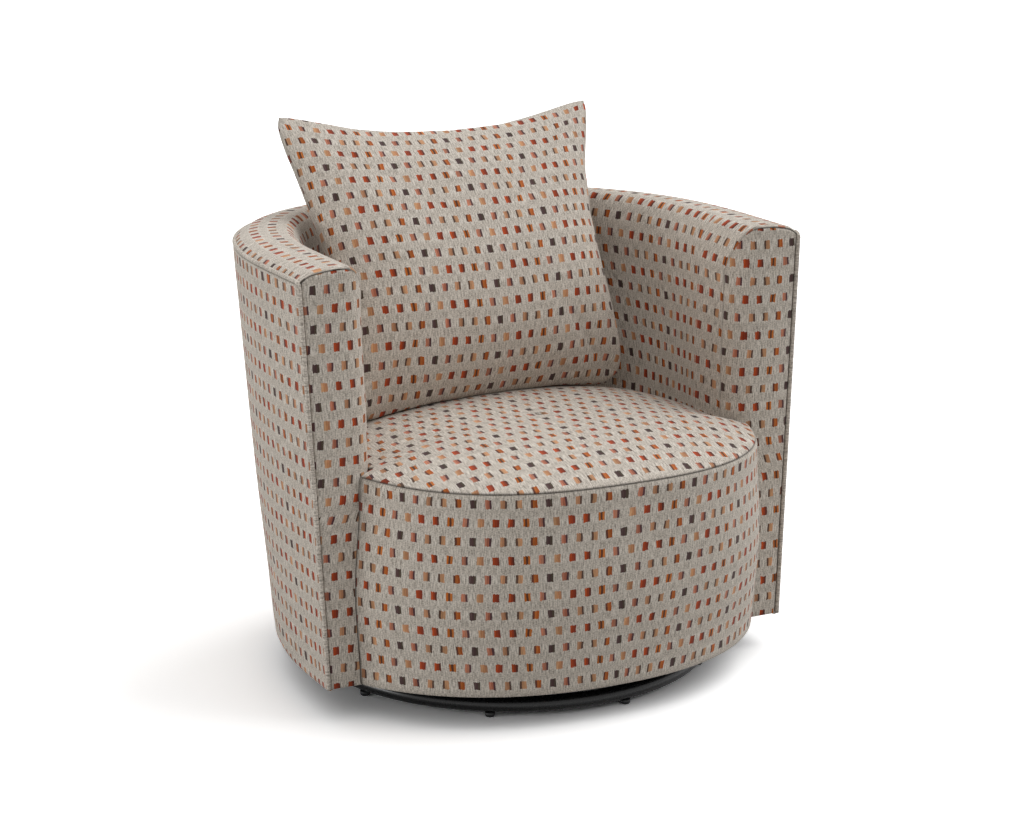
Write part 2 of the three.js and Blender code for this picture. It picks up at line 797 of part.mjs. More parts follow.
function addTimberRings() {
  const hemLine = wallLine((place) => outerPoint(place, hemFrameBase, frameInset));
  const hemHole = boxOutline(
    -hemFrameHoleHalfWidth, hemFrameHoleHalfWidth, -hemFrameHoleFront, hemFrameHoleBack);
  const hemOutline = seatOutline(hemFrameBase, plywood, drumBacking, hemLine);
  addPiece('bottom_frame', plate(hemOutline, plywood, hemFrameBase, [hemHole]), 'timber');
  const postInset = frameInset + railWidth + postGap;
  const seatLine = wallLine((place) => outerPoint(place, seatFrameBase, postInset));
  const seatHole = boxOutline(
    -seatFrameHoleHalfWidth, seatFrameHoleHalfWidth, -seatFrameHoleFront, seatFrameHoleBack);
  const outline = seatOutline(seatFrameBase, plywood, drumBacking, seatLine);
  addPiece('seat_frame', plate(outline, plywood, seatFrameBase, [seatHole]), 'timber');
}

// Rails across the bottom frame that carry the swivel, drilled for its screws
function addCrossRails() {
  const front = clearance - hemFrameHoleFront;
  const back = hemFrameHoleBack - clearance;
  for (const [name, side] of [['cross_rail_left', -1], ['cross_rail_right', 1]]) {
    const middle = side * screwX;
    const outline = boxOutline(middle - crossRailWidth / 2, middle + crossRailWidth / 2, front, back);
    const rail = plate(outline, crossRailThickness, hemFrameBase);
    const holes = screwPlaces.filter((place) => Math.sign(place.x) === side).map((place) => (
      plate(roundOutline(screwDiameter / 2 + 2 * clearance, holeFacets, place.x, place.y),
        3 * crossRailThickness, hemFrameBase - crossRailThickness)));
    addPiece(name, cut(rail, ...holes), 'timber');
  }
}

function addTopRail() {
  const layer = (inset) => pointGrid(stationCount + 1, 2, (place, share) => (
    outerPoint(place, mix(topRailBase, topRailBase + plywood, share), inset)));
  const start = (grid) => grid.map((row, i) => {
    const atFront = i === 0 || i === grid.length - 1;
    return atFront ? row.map((p) => p.clone().setY(outerPlan(p.z).front + facingBack)) : row;
  });
  const rail = solidBetween(start(layer(frameInset)), start(layer(frameInset + railWidth)));
  addPiece('top_rail', rail, 'timber');
}

// Place round the right half of the outer wall that lies in a direction from the axis, in degrees
function placeTowards(angle, height) {
  const plan = outerPlan(height);
  let [low, high] = [0.5, 1];
  for (let k = 0; k < searchSteps; k++) {
    const middle = (low + high) / 2;
    const point = planPoint(plan, middle, height);
    const seen = THREE.MathUtils.radToDeg(Math.atan2(point.y, point.x));
    [low, high] = seen > angle ? [middle, high] : [low, middle];
  }
  return low;
}

// Upright between the bottom frame and the top rail that follows the outer wall
function uprightBetween(firstPoint, secondPoint) {
  const bottom = hemFrameBase + plywood + clearance;
  const top = topRailBase - clearance;
  const layer = (inset) => pointGrid(2, 5, (across, share) => {
    const height = mix(bottom, top, share);
    return across === 0 ? firstPoint(height, inset) : secondPoint(height, inset);
  });
  return solidBetween(layer(frameInset + clearance), layer(frameInset + railWidth - clearance));
}

function wallPost(side, angle) {
  const reach = THREE.MathUtils.radToDeg(postWidth / chairWidth);
  const edge = (turn) => (height, inset) => {
    const place = placeTowards(angle + turn, height);
    return outerPoint(side > 0 ? place : 1 - place, height, inset);
  };
  return uprightBetween(edge(-reach), edge(reach));
}

function addUprights() {
  for (const [suffix, side] of [['left', -1], ['right', 1]]) {
    const armPoint = (depth) => (height, inset) => {
      const plan = outerPlan(height);
      return new THREE.Vector3(side * (plan.halfWidth - inset), plan.front + facingBack + depth, height);
    };
    addPiece(`arm_post_${suffix}`, uprightBetween(armPoint(0), armPoint(armPostDepth)), 'timber');
    for (const [name, angle] of [['side_post', sidePostAngle], ['back_post', backPostAngle]]) {
      addPiece(`${name}_${suffix}`, wallPost(side, angle), 'timber');
    }
    const place = frontPostShare * seamHalfWidth;
    const left = side * place - frontPostSize / 2;
    const bottom = hemFrameBase + plywood + clearance;
    const front = frontPostRoom - drumFaceAt(place + frontPostSize / 2, drumPlan(bottom, drumBacking));
    const outline = boxOutline(left, left + frontPostSize, front, front + frontPostSize);
    const post = plate(outline, seatFrameBase - clearance - bottom, bottom);
    addPiece(`front_post_${suffix}`, post, 'timber');
  }
}

// Zigzag spring across the seat frame, arched under the deck
function addSpring(name, x) {
  const steps = 4 * springLoops;
  const low = seatFrameBase + plywood + clearance + springWire / 2;
  const front = -seatFrameHoleFront - springBearingShare * seatFrameFrontRim;
  const back = innerWallBack(Math.abs(x) + springSwing, innerPlan(wallBase)) - springBackGap;
  const points = Array.from({ length: steps + 1 }, (_, k) => {
    const share = k / steps;
    const swing = springSwing * Math.sin(2 * Math.PI * springLoops * share);
    const height = low + springArch * Math.sin(Math.PI * share);
    return new THREE.Vector3(x + swing, mix(front, back, share), height);
  });
  addPiece(name, cordAlong(points, springWire / 2, springFacets), 'steel');
}

function addSprings() {
  const outer = seatFrameHoleHalfWidth - springBearingShare * seatFrameFrontRim;
  const inner = springInnerShare * outer;
  [-outer, -inner, inner, outer].forEach((x, k) => addSpring(`seat_spring_${k + 1}`, x));
}

function addDeck() {
  const plan = innerPlan(wallBase);
  plan.halfWidth -= 2 * clearance;
  plan.back -= springBackGap;
  const wallPoints = wallLine((place) => planPoint(plan, place, deckBase));
  const outline = seatOutline(deckBase, deckThickness, drumBacking, wallPoints);
  addPiece('spring_deck_pad', plate(outline, deckThickness, deckBase), 'cloth');
}

// Swivel, from the floor up
const raceHalfGap = ballDiameter / 2 + clearance - grooveDepth;
const upperPlateTop = hemFrameBase - clearance - dustCoverThickness - clearance;
const upperPlateBase = upperPlateTop - plateThickness;
const ballHeight = upperPlateBase - raceHalfGap;
const lowerPlateTop = ballHeight - raceHalfGap;
const lowerPlateBase = lowerPlateTop - plateThickness;
const strapTop = lowerPlateBase - clearance;
const pinClearance = 2 * clearance;

// Plate with a ball race in the face that looks along the given sign
function racePlate(base, radius, faceSign) {
  const [back, face] = faceSign > 0 ? [base, base + plateThickness] : [base + plateThickness, base];
  const grooveHalf = Math.sqrt((ballDiameter / 2 + clearance) ** 2 - raceHalfGap ** 2) + clearance;
  const inner = kingPinDiameter / 2 + pinClearance;
  const floor = face - faceSign * grooveDepth;
  return turned([
    [inner, back],
    [radius, back],
    [radius, face],
    [raceRadius + grooveHalf, face],
    [raceRadius + grooveHalf / 2, floor],
    [raceRadius - grooveHalf / 2, floor],
    [raceRadius - grooveHalf, face],
    [inner, face],
    [inner, back],
  ], raceFacets);
}

function addSwivelPlates() {
  addPiece('lower_swivel_plate', racePlate(lowerPlateBase, plateRadius, 1), 'steel', base);
  const holes = screwPlaces.map((place) => (
    plate(roundOutline(screwDiameter / 2 + 2 * clearance, holeFacets, place.x, place.y),
      3 * plateThickness, upperPlateBase - plateThickness)));
  addPiece('upper_swivel_plate', cut(racePlate(upperPlateBase, upperPlateRadius, -1), ...holes), 'steel');
}

function addKingPin() {
  const shaft = kingPinDiameter / 2;
  const head = kingPinHead / 2;
  const low = lowerPlateBase - clearance;
  const high = hemFrameBase + clearance;
  addPiece('king_pin', turned([
    [0, low - kingPinHeadHeight],
    [head, low - kingPinHeadHeight],
    [head, low],
    [shaft, low],
    [shaft, high],
    [head, high],
    [head, high + kingPinHeadHeight],
    [0, high + kingPinHeadHeight],
  ], pinFacets), 'steel', base);
}

function addBallBearing() {
  const ring = turned([
    [raceRadius - cageWidth / 2, ballHeight - cageThickness / 2],
    [raceRadius + cageWidth / 2, ballHeight - cageThickness / 2],
    [raceRadius + cageWidth / 2, ballHeight + cageThickness / 2],
    [raceRadius - cageWidth / 2, ballHeight + cageThickness / 2],
    [raceRadius - cageWidth / 2, ballHeight - cageThickness / 2],
  ], raceFacets);
  const places = Array.from({ length: ballCount }, (_, k) => (2 * Math.PI * k) / ballCount);
  const holes = places.map((angle) => (
    plate(roundOutline(ballDiameter / 2 + 2 * clearance, holeFacets,
      raceRadius * Math.cos(angle), raceRadius * Math.sin(angle)),
    3 * cageThickness, ballHeight - cageThickness)));
  addPiece('ball_cage', cut(ring, ...holes), 'steel', bearing);
  places.forEach((angle, k) => {
    const shape = new THREE.IcosahedronGeometry(ballDiameter / 2, 1);
    const ball = addPiece(`bearing_ball_${k + 1}`, shape, 'steel', bearing);
    ball.position.set(raceRadius * Math.cos(angle), raceRadius * Math.sin(angle), ballHeight);
  });
}

// Screws that hold the upper plate to the cross rails
function addPlateScrews() {
  const head = screwHead / 2;
  const shank = screwDiameter / 2;
  screwPlaces.forEach((place, k) => {
    const screw = addPiece(`plate_screw_${k + 1}`, turned([
      [0, -screwHeadHeight],
      [head, -screwHeadHeight],
      [head, 0],
      [shank, 0],
      [shank, screwLength - screwTip],
      [0, screwLength],
    ], smallFacets), 'steel');
    screw.position.set(place.x, place.y, upperPlateBase - clearance);
  });
}

function addDustCover() {
  const height = hemFrameBase - clearance - dustCoverThickness;
  const line = wallLine((place) => outerPoint(place, height, frameInset - clearance));
  const outline = seatOutline(height, dustCoverThickness, coverThickness + clearance, line);
  const holes = [
    roundOutline(dustCoverHole, pinFacets).reverse(),
    ...screwPlaces.map((place) => (
      roundOutline(screwDiameter / 2 + 2 * clearance, holeFacets, place.x, place.y).reverse())),
  ];
  addPiece('dust_cover', plate(outline, dustCoverThickness, height, holes), 'cloth');
}

// Round tube on nylon glides, with a cross of bent straps inside it
const ringHeight = glideHeight + clearance + ringTube / 2;

function addFloorRing() {
  const flatRadius = ringTube / 2 / Math.cos(Math.PI / tubeFacets);
  const section = Array.from({ length: tubeFacets + 1 }, (_, k) => {
    const angle = (2 * Math.PI * (k + 0.5)) / tubeFacets;
    return [ringRadius + flatRadius * Math.cos(angle), ringHeight + flatRadius * Math.sin(angle)];
  });
  const ring = turned(section, ringFacets).rotateZ(Math.PI / ringFacets);
  addPiece('floor_ring', ring, 'black', base);
}

function addStraps() {
  const reach = (ringRadius - ringTube / 2) * Math.cos(Math.PI / ringFacets) - clearance;
  const low = ringHeight - strapThickness / 2;
  const high = strapTop - strapThickness;
  const lower = [[-reach, low], [-strapRampOuter, low], [-strapRampInner, high],
    [strapRampInner, high], [strapRampOuter, low], [reach, low]];
  const upper = [...lower].reverse().map(([along, height]) => [along, height + strapThickness]);
  const outline = [...lower, ...upper].map(([along, height]) => new THREE.Vector2(along, height));
  const strap = () => plate(outline, strapWidth, -strapWidth / 2).rotateX(Math.PI / 2);
  const hole = plate(roundOutline(strapHole, pinFacets), 3 * strapTop, -strapTop);
  addPiece('strap_cross', cut(join(strap(), strap().rotateZ(Math.PI / 2)), hole), 'black', base);
}

function addGlides() {
  const radius = glideDiameter / 2;
  const foot = glideFootShare * radius;
  const chamfer = glideChamferShare * glideHeight;
  for (let k = 0; k < glideCount; k++) {
    const angle = radians(glidePhase) + (2 * Math.PI * k) / glideCount;
    const glide = addPiece(`glide_${k + 1}`, turned([
      [0, 0],
      [foot, 0],
      [radius, chamfer],
      [radius, glideHeight],
      [0, glideHeight],
    ], smallFacets), 'nylon', base);
    glide.position.set(ringRadius * Math.cos(angle), ringRadius * Math.sin(angle), 0);
  }
}

// Square pillow with a knife edge, dog ears and a zip in its lower edge. It is made upright around
// its own middle and then leaned back, so that its lower corners touch the seat
const pillowSteps = 12;
const fillingSteps = 10;

function pillowPoint(across, up, side, { margin, wall, edge }) {
  const half = pillowSize / 2 - margin;
  const dipX = 1 - pillowSideDipShare * (1 - up ** 2);
  const endDip = mix(pillowFootDipShare, pillowHeadDipShare, (1 + up) / 2);
  const dipZ = 1 - endDip * (1 - across ** 2);
  const spread = 1 + pillowSpreadShare * up;
  const fullness = ((1 - across ** 2) * (1 - up ** 2)) ** pillowPuff;
  const depth = edge + (pillowThickness / 2 - wall - edge) * fullness;
  return new THREE.Vector3(half * across * dipX * spread, side * depth, half * up * dipZ);
}

function pillowSolid(steps, layerSizes) {
  const bend = (share) => Math.sin((share - 1 / 2) * Math.PI);
  const layer = (side) => pointGrid(steps + 1, steps + 1, (across, up) => (
    pillowPoint(bend(across), bend(up), side, layerSizes)));
  return solidBetween(layer(-1), layer(1));
}

// Height of the seat's surface, with the bare seam's height beyond its edges
function seatHeightAt(x, y) {
  const across = x / seatHalfWidth(y, seamHeight, 0);
  return Math.abs(across) < 1 ? seatSurface(across, y) : seamHeight;
}

// Leans the pillow back against the inner wall, and lowers it onto the seat
function placePillow(shape) {
  const lean = radians(pillowLean);
  pillow.rotation.x = -lean;
  pillow.position.set(pillowOffsetX, innerBackAtRim - pillowSize * Math.sin(lean), pillowSize);
  const farthest = (reach) => {
    pillow.updateMatrix();
    const position = shape.getAttribute('position');
    const point = new THREE.Vector3();
    let most = -pillowSize;
    for (let i = 0; i < position.count; i++) {
      point.fromBufferAttribute(position, i).applyMatrix4(pillow.matrix);
      most = Math.max(most, reach(point));
    }
    return most;
  };
  const pastWall = (point) => {
    const plan = innerPlan(Math.min(point.z, rollFootHeight));
    return point.z > rimHeight + crownRise ? -pillowSize : point.y - innerWallBack(point.x, plan);
  };
  for (let k = 0; k < settleSteps; k++) {
    pillow.position.z += farthest((point) => seatHeightAt(point.x, point.y) - point.z) + clearance;
    pillow.position.y -= farthest(pastWall) + pillowBackGap;
  }
  pillow.position.z += farthest((point) => seatHeightAt(point.x, point.y) - point.z) + clearance;
}

function addPillow() {
  const half = pillowSize / 2;
  const edgeDrop = half * (1 - pillowFootDipShare);
  const slotDepth = 3 * zipWidth;
  const slot = plate(
    boxOutline(-zipLength / 2, zipLength / 2, -zipThickness / 2 - clearance, zipThickness / 2 + clearance),
    slotDepth, -edgeDrop - slotDepth / 2);
  const innerEdge = pillowEdge / 2 - pillowWall;
  const shape = pillowSolid(pillowSteps, { margin: 0, wall: 0, edge: pillowEdge / 2 });
  const hollow = pillowSolid(pillowSteps, { margin: pillowWall, wall: pillowWall, edge: innerEdge });
  placePillow(shape);
  const cover = cut(shape, hollow, slot);
  addPiece('pillow_cover', cover, 'fabric', pillow);
  const filling = pillowSolid(fillingSteps, {
    margin: half - edgeDrop + zipWidth + pillowWall,
    wall: pillowWall + clearance,
    edge: innerEdge,
  });
  addPiece('pillow_filling', filling, 'foam', pillow);
  const zip = plate(
    boxOutline(-zipLength / 2 + clearance, zipLength / 2 - clearance, -zipThickness / 2, zipThickness / 2),
    zipWidth, -edgeDrop);
  addPiece('pillow_zip', zip, 'nylon', pillow);
}

addFloorRing();
addStraps();
addGlides();
addSwivelPlates();
addKingPin();
addBallBearing();
addPlateScrews();
addDustCover();
addTimberRings();
addCrossRails();
addTopRail();
addUprights();
addSprings();
addDeck();
addBorder();
addSeat();
addWallFoam();
addInsideCover();
addOutsideCover();
addFacing('facing_cover_left', -1);
addFacing('facing_cover_right', 1);
addWelt();
addPillow();

export default object;
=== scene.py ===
import json
import math
import bpy
import numpy as np
from mathutils import Matrix, Vector


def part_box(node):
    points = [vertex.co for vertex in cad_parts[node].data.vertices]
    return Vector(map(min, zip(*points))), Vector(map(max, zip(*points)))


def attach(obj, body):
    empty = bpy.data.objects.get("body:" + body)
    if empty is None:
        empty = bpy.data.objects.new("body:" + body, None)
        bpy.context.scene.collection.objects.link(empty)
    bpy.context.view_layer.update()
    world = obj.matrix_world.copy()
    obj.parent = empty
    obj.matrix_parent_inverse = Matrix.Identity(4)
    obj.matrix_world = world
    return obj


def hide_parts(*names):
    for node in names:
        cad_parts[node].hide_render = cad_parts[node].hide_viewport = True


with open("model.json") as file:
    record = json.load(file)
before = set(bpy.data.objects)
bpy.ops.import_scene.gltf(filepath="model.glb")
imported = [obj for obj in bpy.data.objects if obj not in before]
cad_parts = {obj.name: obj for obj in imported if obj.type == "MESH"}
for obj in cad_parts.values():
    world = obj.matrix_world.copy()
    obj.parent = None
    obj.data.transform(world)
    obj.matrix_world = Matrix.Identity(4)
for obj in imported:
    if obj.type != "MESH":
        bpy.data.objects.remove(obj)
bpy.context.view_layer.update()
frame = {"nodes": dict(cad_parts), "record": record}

nodes = frame["nodes"]
scene = bpy.context.scene

# helpers


def linear(hexText):  # sRGB hex to the linear colour that a socket takes
    parts = [int(hexText[k:k + 2], 16) / 255 for k in (1, 3, 5)]
    return [p / 12.92 if p <= 0.04045 else ((p + 0.055) / 1.055) ** 2.4 for p in parts] + [1]


def addNode(tree, kind, inputs=(), **settings):  # inputs: values, sockets or nodes, None to leave one
    made = tree.nodes.new(kind)
    for name, value in settings.items():
        setattr(made, name, value)
    for key, value in (inputs.items() if isinstance(inputs, dict) else enumerate(inputs)):
        if isinstance(value, bpy.types.Node):
            value = value.outputs[0]
        if isinstance(value, bpy.types.NodeSocket):
            tree.links.new(value, made.inputs[key])
        elif value is not None:
            made.inputs[key].default_value = value
    return made


def startMaterial(name, shaderValues):
    material = bpy.data.materials.new(name)
    material.use_nodes = True
    tree = material.node_tree
    tree.nodes.clear()
    shader = addNode(tree, "ShaderNodeBsdfPrincipled", shaderValues)
    addNode(tree, "ShaderNodeOutputMaterial", [shader])
    return material, tree, shader


def setRamp(ramp, stops, interpolation="LINEAR"):
    ramp.color_ramp.interpolation = interpolation
    elements = ramp.color_ramp.elements
    while len(elements) < len(stops):
        elements.new(0.5)
    for element, (place, colour) in zip(elements, stops):
        element.position = place
        element.color = linear(colour)


def mix(a, b, share):
    return a + (b - a) * share


def smooth(share):
    share = np.clip(share, 0, 1)
    return share * share * (3 - 2 * share)


def unit(vectors):
    return vectors / np.linalg.norm(vectors, axis=-1, keepdims=True)


def runAlong(path):  # length run at each point of a path
    return np.insert(np.cumsum(np.linalg.norm(np.diff(path, axis=0), axis=1)), 0, 0)


def evenlyAlong(path, count, lengths, endpoint=True):  # points of a path at even steps of its length
    spots = np.linspace(0, lengths[-1], count, endpoint=endpoint)
    return np.stack([np.interp(spots, lengths, path[:, k]) for k in range(path.shape[1])], axis=1)


def archShare(share, power):  # width left at a share of the way to the top of a squarish arch
    return (1 - share ** power) ** (1 / power)


def dress(piece, body, slot, *replaced):  # what the piece rides on, its material slot, which is not used, and the solids it stands for
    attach(piece, body)
    if replaced:
        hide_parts(*replaced)


def setCornerPlaces(mesh, layer, weave):
    corners = np.empty(len(mesh.loops), dtype=np.int32)
    mesh.loops.foreach_get("vertex_index", corners)
    layer.data.foreach_set("uv", np.asarray(weave, dtype=np.float32)[corners].ravel())


def meshPiece(name, points, faces, material, weave=None, paintedShade=None):
    mesh = bpy.data.meshes.new(name)
    mesh.from_pydata([tuple(p) for p in points], [], faces)
    mesh.materials.append(material)
    mesh.polygons.foreach_set("use_smooth", [True] * len(mesh.polygons))
    if weave is not None:
        setCornerPlaces(mesh, mesh.uv_layers.new(name="weave"), weave)
    # the share of painted shade at each point, kept as a mesh attribute for the cloth's material
    if paintedShade is not None:
        layer = mesh.attributes.new("paintedShade", "FLOAT", "POINT")
        layer.data.foreach_set("value", np.asarray(paintedShade, dtype=np.float32))
    mesh.update()
    piece = bpy.data.objects.new(name, mesh)
    scene.collection.objects.link(piece)
    return piece


def startTree(name, sizes):  # one named input for each size
    tree = bpy.data.node_groups.new(name, "GeometryNodeTree")
    tree.interface.new_socket("Geometry", in_out="INPUT", socket_type="NodeSocketGeometry")
    for name, value in sizes.items():
        kind = "NodeSocketInt" if isinstance(value, int) else "NodeSocketFloat"
        tree.interface.new_socket(name, in_out="INPUT", socket_type=kind)
    tree.interface.new_socket("Geometry", in_out="OUTPUT", socket_type="NodeSocketGeometry")
    return tree, addNode(tree, "NodeGroupInput")


def grown(name, tree, last, material, sizes, source=None):  # closes a tree, runs it once and keeps its plain mesh
    whole = addNode(tree, "GeometryNodeRealizeInstances", [last])
    painted = addNode(tree, "GeometryNodeSetMaterial", {"Geometry": whole, "Material": material})
    addNode(tree, "NodeGroupOutput", [painted])
    seed = bpy.data.objects.new(name + "Seed", source or bpy.data.meshes.new(name + "Seed"))
    scene.collection.objects.link(seed)
    modifier = seed.modifiers.new("grow", "NODES")
    modifier.node_group = tree
    for item in tree.interface.items_tree:
        if item.in_out == "INPUT" and item.name in sizes:
            modifier[item.identifier] = sizes[item.name]
    graph = bpy.context.evaluated_depsgraph_get()
    mesh = bpy.data.meshes.new_from_object(seed.evaluated_get(graph), depsgraph=graph)
    bpy.data.objects.remove(seed)
    piece = bpy.data.objects.new(name, mesh)
    scene.collection.objects.link(piece)
    mesh.polygons.foreach_set("use_smooth", [True] * len(mesh.polygons))
    return piece


def barsAlong(name, points, closed, bar, crosswise, material):  # short round bars, one after another on a path
    count = len(points)
    path = bpy.data.meshes.new(name + "Path")
    path.from_pydata([tuple(p) for p in points], [(k, (k + 1) % count) for k in range(count if closed else count - 1)],
                     [])
    tree, given = startTree(name, bar)
    curve = addNode(tree, "GeometryNodeMeshToCurve", [given.outputs["Geometry"]])
    level = addNode(tree, "GeometryNodeSetCurveNormal", [curve], mode="Z_UP")
    spaced = addNode(tree, "GeometryNodeResampleCurve", {"Curve": level, "Length": given.outputs["pitch"]},
                     mode="LENGTH")
    spots = addNode(tree, "GeometryNodeCurveToPoints", {"Curve": spaced}, mode="EVALUATED")
    radius = addNode(tree, "ShaderNodeMath", [given.outputs["thickness"], 0.5], operation="MULTIPLY")
    round8 = addNode(tree, "GeometryNodeMeshCylinder", {"Vertices": 8, "Radius": radius,
                                                        "Depth": given.outputs["length"]})
    lying = addNode(tree, "GeometryNodeTransform", {"Geometry": round8,
                                                    "Rotation": (0, math.pi / 2 if crosswise else 0, 0)})
    each = addNode(tree, "GeometryNodeInstanceOnPoints", {"Points": spots, "Instance": lying,
                                                          "Rotation": spots.outputs["Rotation"]})
    return grown(name, tree, each, material, bar, path)


def gridFaces(rows, columns, closed=False, flip=False, start=0):
    faces = []
    for i in range(rows - 1):
        for j in range(columns if closed else columns - 1):
            k = (j + 1) % columns
            quad = [start + i * columns + j, start + i * columns + k,
                    start + (i + 1) * columns + k, start + (i + 1) * columns + j]
            faces.append(quad[::-1] if flip else quad)
    return faces


def sheetPiece(name, grid, weave, paintedShade, material, thickness, flip=False):
    rows, columns = grid.shape[:2]
    piece = meshPiece(name, grid.reshape(-1, 3), gridFaces(rows, columns, flip=flip), material,
                      weave.reshape(-1, 2), paintedShade.reshape(-1))
    wall = piece.modifiers.new("wall", "SOLIDIFY")
    wall.thickness = thickness
    wall.offset = -1
    return piece


def lengthAlong(points, axis):  # running length of a grid's lines
    steps = np.linalg.norm(np.diff(points, axis=axis), axis=2)
    return np.insert(np.cumsum(steps, axis=axis), 0, 0, axis=axis)


def gridWeave(along, up, shift=(0, 0)):
    return np.stack(np.broadcast_arrays(along[None], up.reshape(len(up), -1)), axis=-1) + shift


def unevenness(x, y, z, size):  # slow hand-made swell of stuffed cloth, the same each run
    return size * (np.sin(17 * x + 9 * z + 1.3) * np.sin(13 * y - 11 * z + 0.4)
                   + 0.6 * np.sin(29 * x - 19 * y + 2.1) * np.sin(23 * z + 0.9)) / 1.6


# camera, floor and light

view = {"azimuth": 26.9166, "elevation": 14.5889, "place": (-1.91493, -3.78438, 1.51168),
        "focalPixels": 2655.31, "imageWidth": 1024, "filmWidth": 36}


def addCamera():
    azimuth, elevation = math.radians(view["azimuth"]), math.radians(view["elevation"])
    back = Vector((-math.sin(azimuth) * math.cos(elevation), -math.cos(azimuth) * math.cos(elevation),
                   math.sin(elevation)))
    right = Vector((math.cos(azimuth), -math.sin(azimuth), 0))
    up = back.cross(right)
    data = bpy.data.cameras.new("photoView")
    data.sensor_width = view["filmWidth"]
    data.lens = view["focalPixels"] * view["filmWidth"] / view["imageWidth"]
    camera = bpy.data.objects.new("photoView", data)
    turn = Matrix((right, up, back)).transposed().to_4x4()
    camera.matrix_world = Matrix.Translation(view["place"]) @ turn
    scene.collection.objects.link(camera)
    scene.camera = camera


studio = {"floorHalf": 40, "floorColour": "#B9B8B6", "seenFloor": 1.5,
          # brightness of the air at the horizon and straight overhead
          "skyStrength": (0.04, 1.0),
          # height above the floor and turn from straight in front, in degrees; spread; strength
          "lamps": {"keyLamp": (46, 84, 60, 1.5), "fillLamp": (6, -102, 24, 1.0)}}


def seenStraight(tree):  # 1 where the camera or a mirror looks, 0 where light bounces
    path = addNode(tree, "ShaderNodeLightPath")
    return addNode(tree, "ShaderNodeMath", [path.outputs["Is Camera Ray"], path.outputs["Is Glossy Ray"]],
                   operation="MAXIMUM")


def addStudio():
    floorMaterial, tree, shader = startMaterial("seamlessPaper", {"Roughness": 0.9, "Specular IOR Level": 0.1})
    # the camera sees the paper as pure white where no shadow falls; the object gets plain light from it
    paper = addNode(tree, "ShaderNodeMix", {0: seenStraight(tree), 6: linear(studio["floorColour"]),
                                            7: (studio["seenFloor"],) * 3 + (1,)}, data_type="RGBA")
    tree.links.new(paper.outputs[2], shader.inputs["Base Color"])
    half = studio["floorHalf"]
    floor = meshPiece("paperFloor", [(-half, -half, 0), (half, -half, 0), (half, half, 0), (-half, half, 0)],
                      [(0, 1, 2, 3)], floorMaterial)
    world = bpy.data.worlds.new("studioAir")
    scene.world = world
    world.use_nodes = True
    tree = world.node_tree
    tree.nodes.clear()
    place = addNode(tree, "ShaderNodeTexCoord")
    rise = addNode(tree, "ShaderNodeSeparateXYZ", [place.outputs["Generated"]])
    low, high = studio["skyStrength"]
    overhead = addNode(tree, "ShaderNodeMapRange", {0: rise.outputs[2], 3: low, 4: high})
    power = addNode(tree, "ShaderNodeMapRange", {0: seenStraight(tree), 3: overhead, 4: 1.0})
    sky = addNode(tree, "ShaderNodeBackground", {0: (1, 1, 1, 1), 1: power})
    addNode(tree, "ShaderNodeOutputWorld", [sky])
    for name, (tilt, turn, spread, strength) in studio["lamps"].items():
        data = bpy.data.lights.new(name, "SUN")
        data.angle, data.energy = math.radians(spread), strength
        lamp = bpy.data.objects.new(name, data)
        tilt, turn = math.radians(tilt), math.radians(turn)
        aim = Vector((-math.sin(turn) * math.cos(tilt), math.cos(turn) * math.cos(tilt), -math.sin(tilt)))
        lamp.matrix_world = aim.to_track_quat("-Z", "Y").to_matrix().to_4x4()
        scene.collection.objects.link(lamp)
    scene.view_settings.view_transform = "Standard"


addCamera()
addStudio()
print("stage: camera, floor and lamps")

# materials

jacquard = {
    "columnPitch": 0.024, "rowPitch": 0.030, "squareWidth": 0.0103, "squareHeight": 0.0136,
    # thickness of a yarn, drawn coarser than the real 0.5 mm so that it shows; length of its thick places
    "yarn": 0.0011, "slub": 0.013,
    # how far the rows of squares sway, and over what length
    "sway": 0.003, "swayLength": 0.0181818,
    "groundDark": "#8C857B", "groundMiddle": "#BEB4A8", "groundLight": "#DFD7CC", "floatLight": "#E3DCD2",
    # painted shade: the dark colour mixed into the cloth in seams, under the welt and in the gaps between covers
    "paintedShadeColour": "#4A4641",
    # how much of the ground's mottle comes from its wefts; how far each square's own shade and its yarns' may go
    "weftShare": 0.42, "dyeRange": (0.82, 1.16), "yarnRange": (0.8, 1.2), "bump": (0.35, 0.0008),
    # three yarns side by side in each square: five squares of one row, then five of the next
    "squares": [
        ["#C4956E", "#BA835C", "#AC7A5A"], ["#A8441C", "#93381A", "#7A3220"], ["#B24A1C", "#8F3719", "#5C2E22"],
        ["#B4601F", "#5A3524", "#B86A30"], ["#BC765A", "#A8705A", "#55393A"],
        ["#54403E", "#4A3432", "#4C4034"], ["#BA775E", "#A1604A", "#523638"], ["#BC8A66", "#AC7A5A", "#5B463C"],
        ["#5A4236", "#B58662", "#C08E68"], ["#64392A", "#B0602A", "#A4531F"]],
}


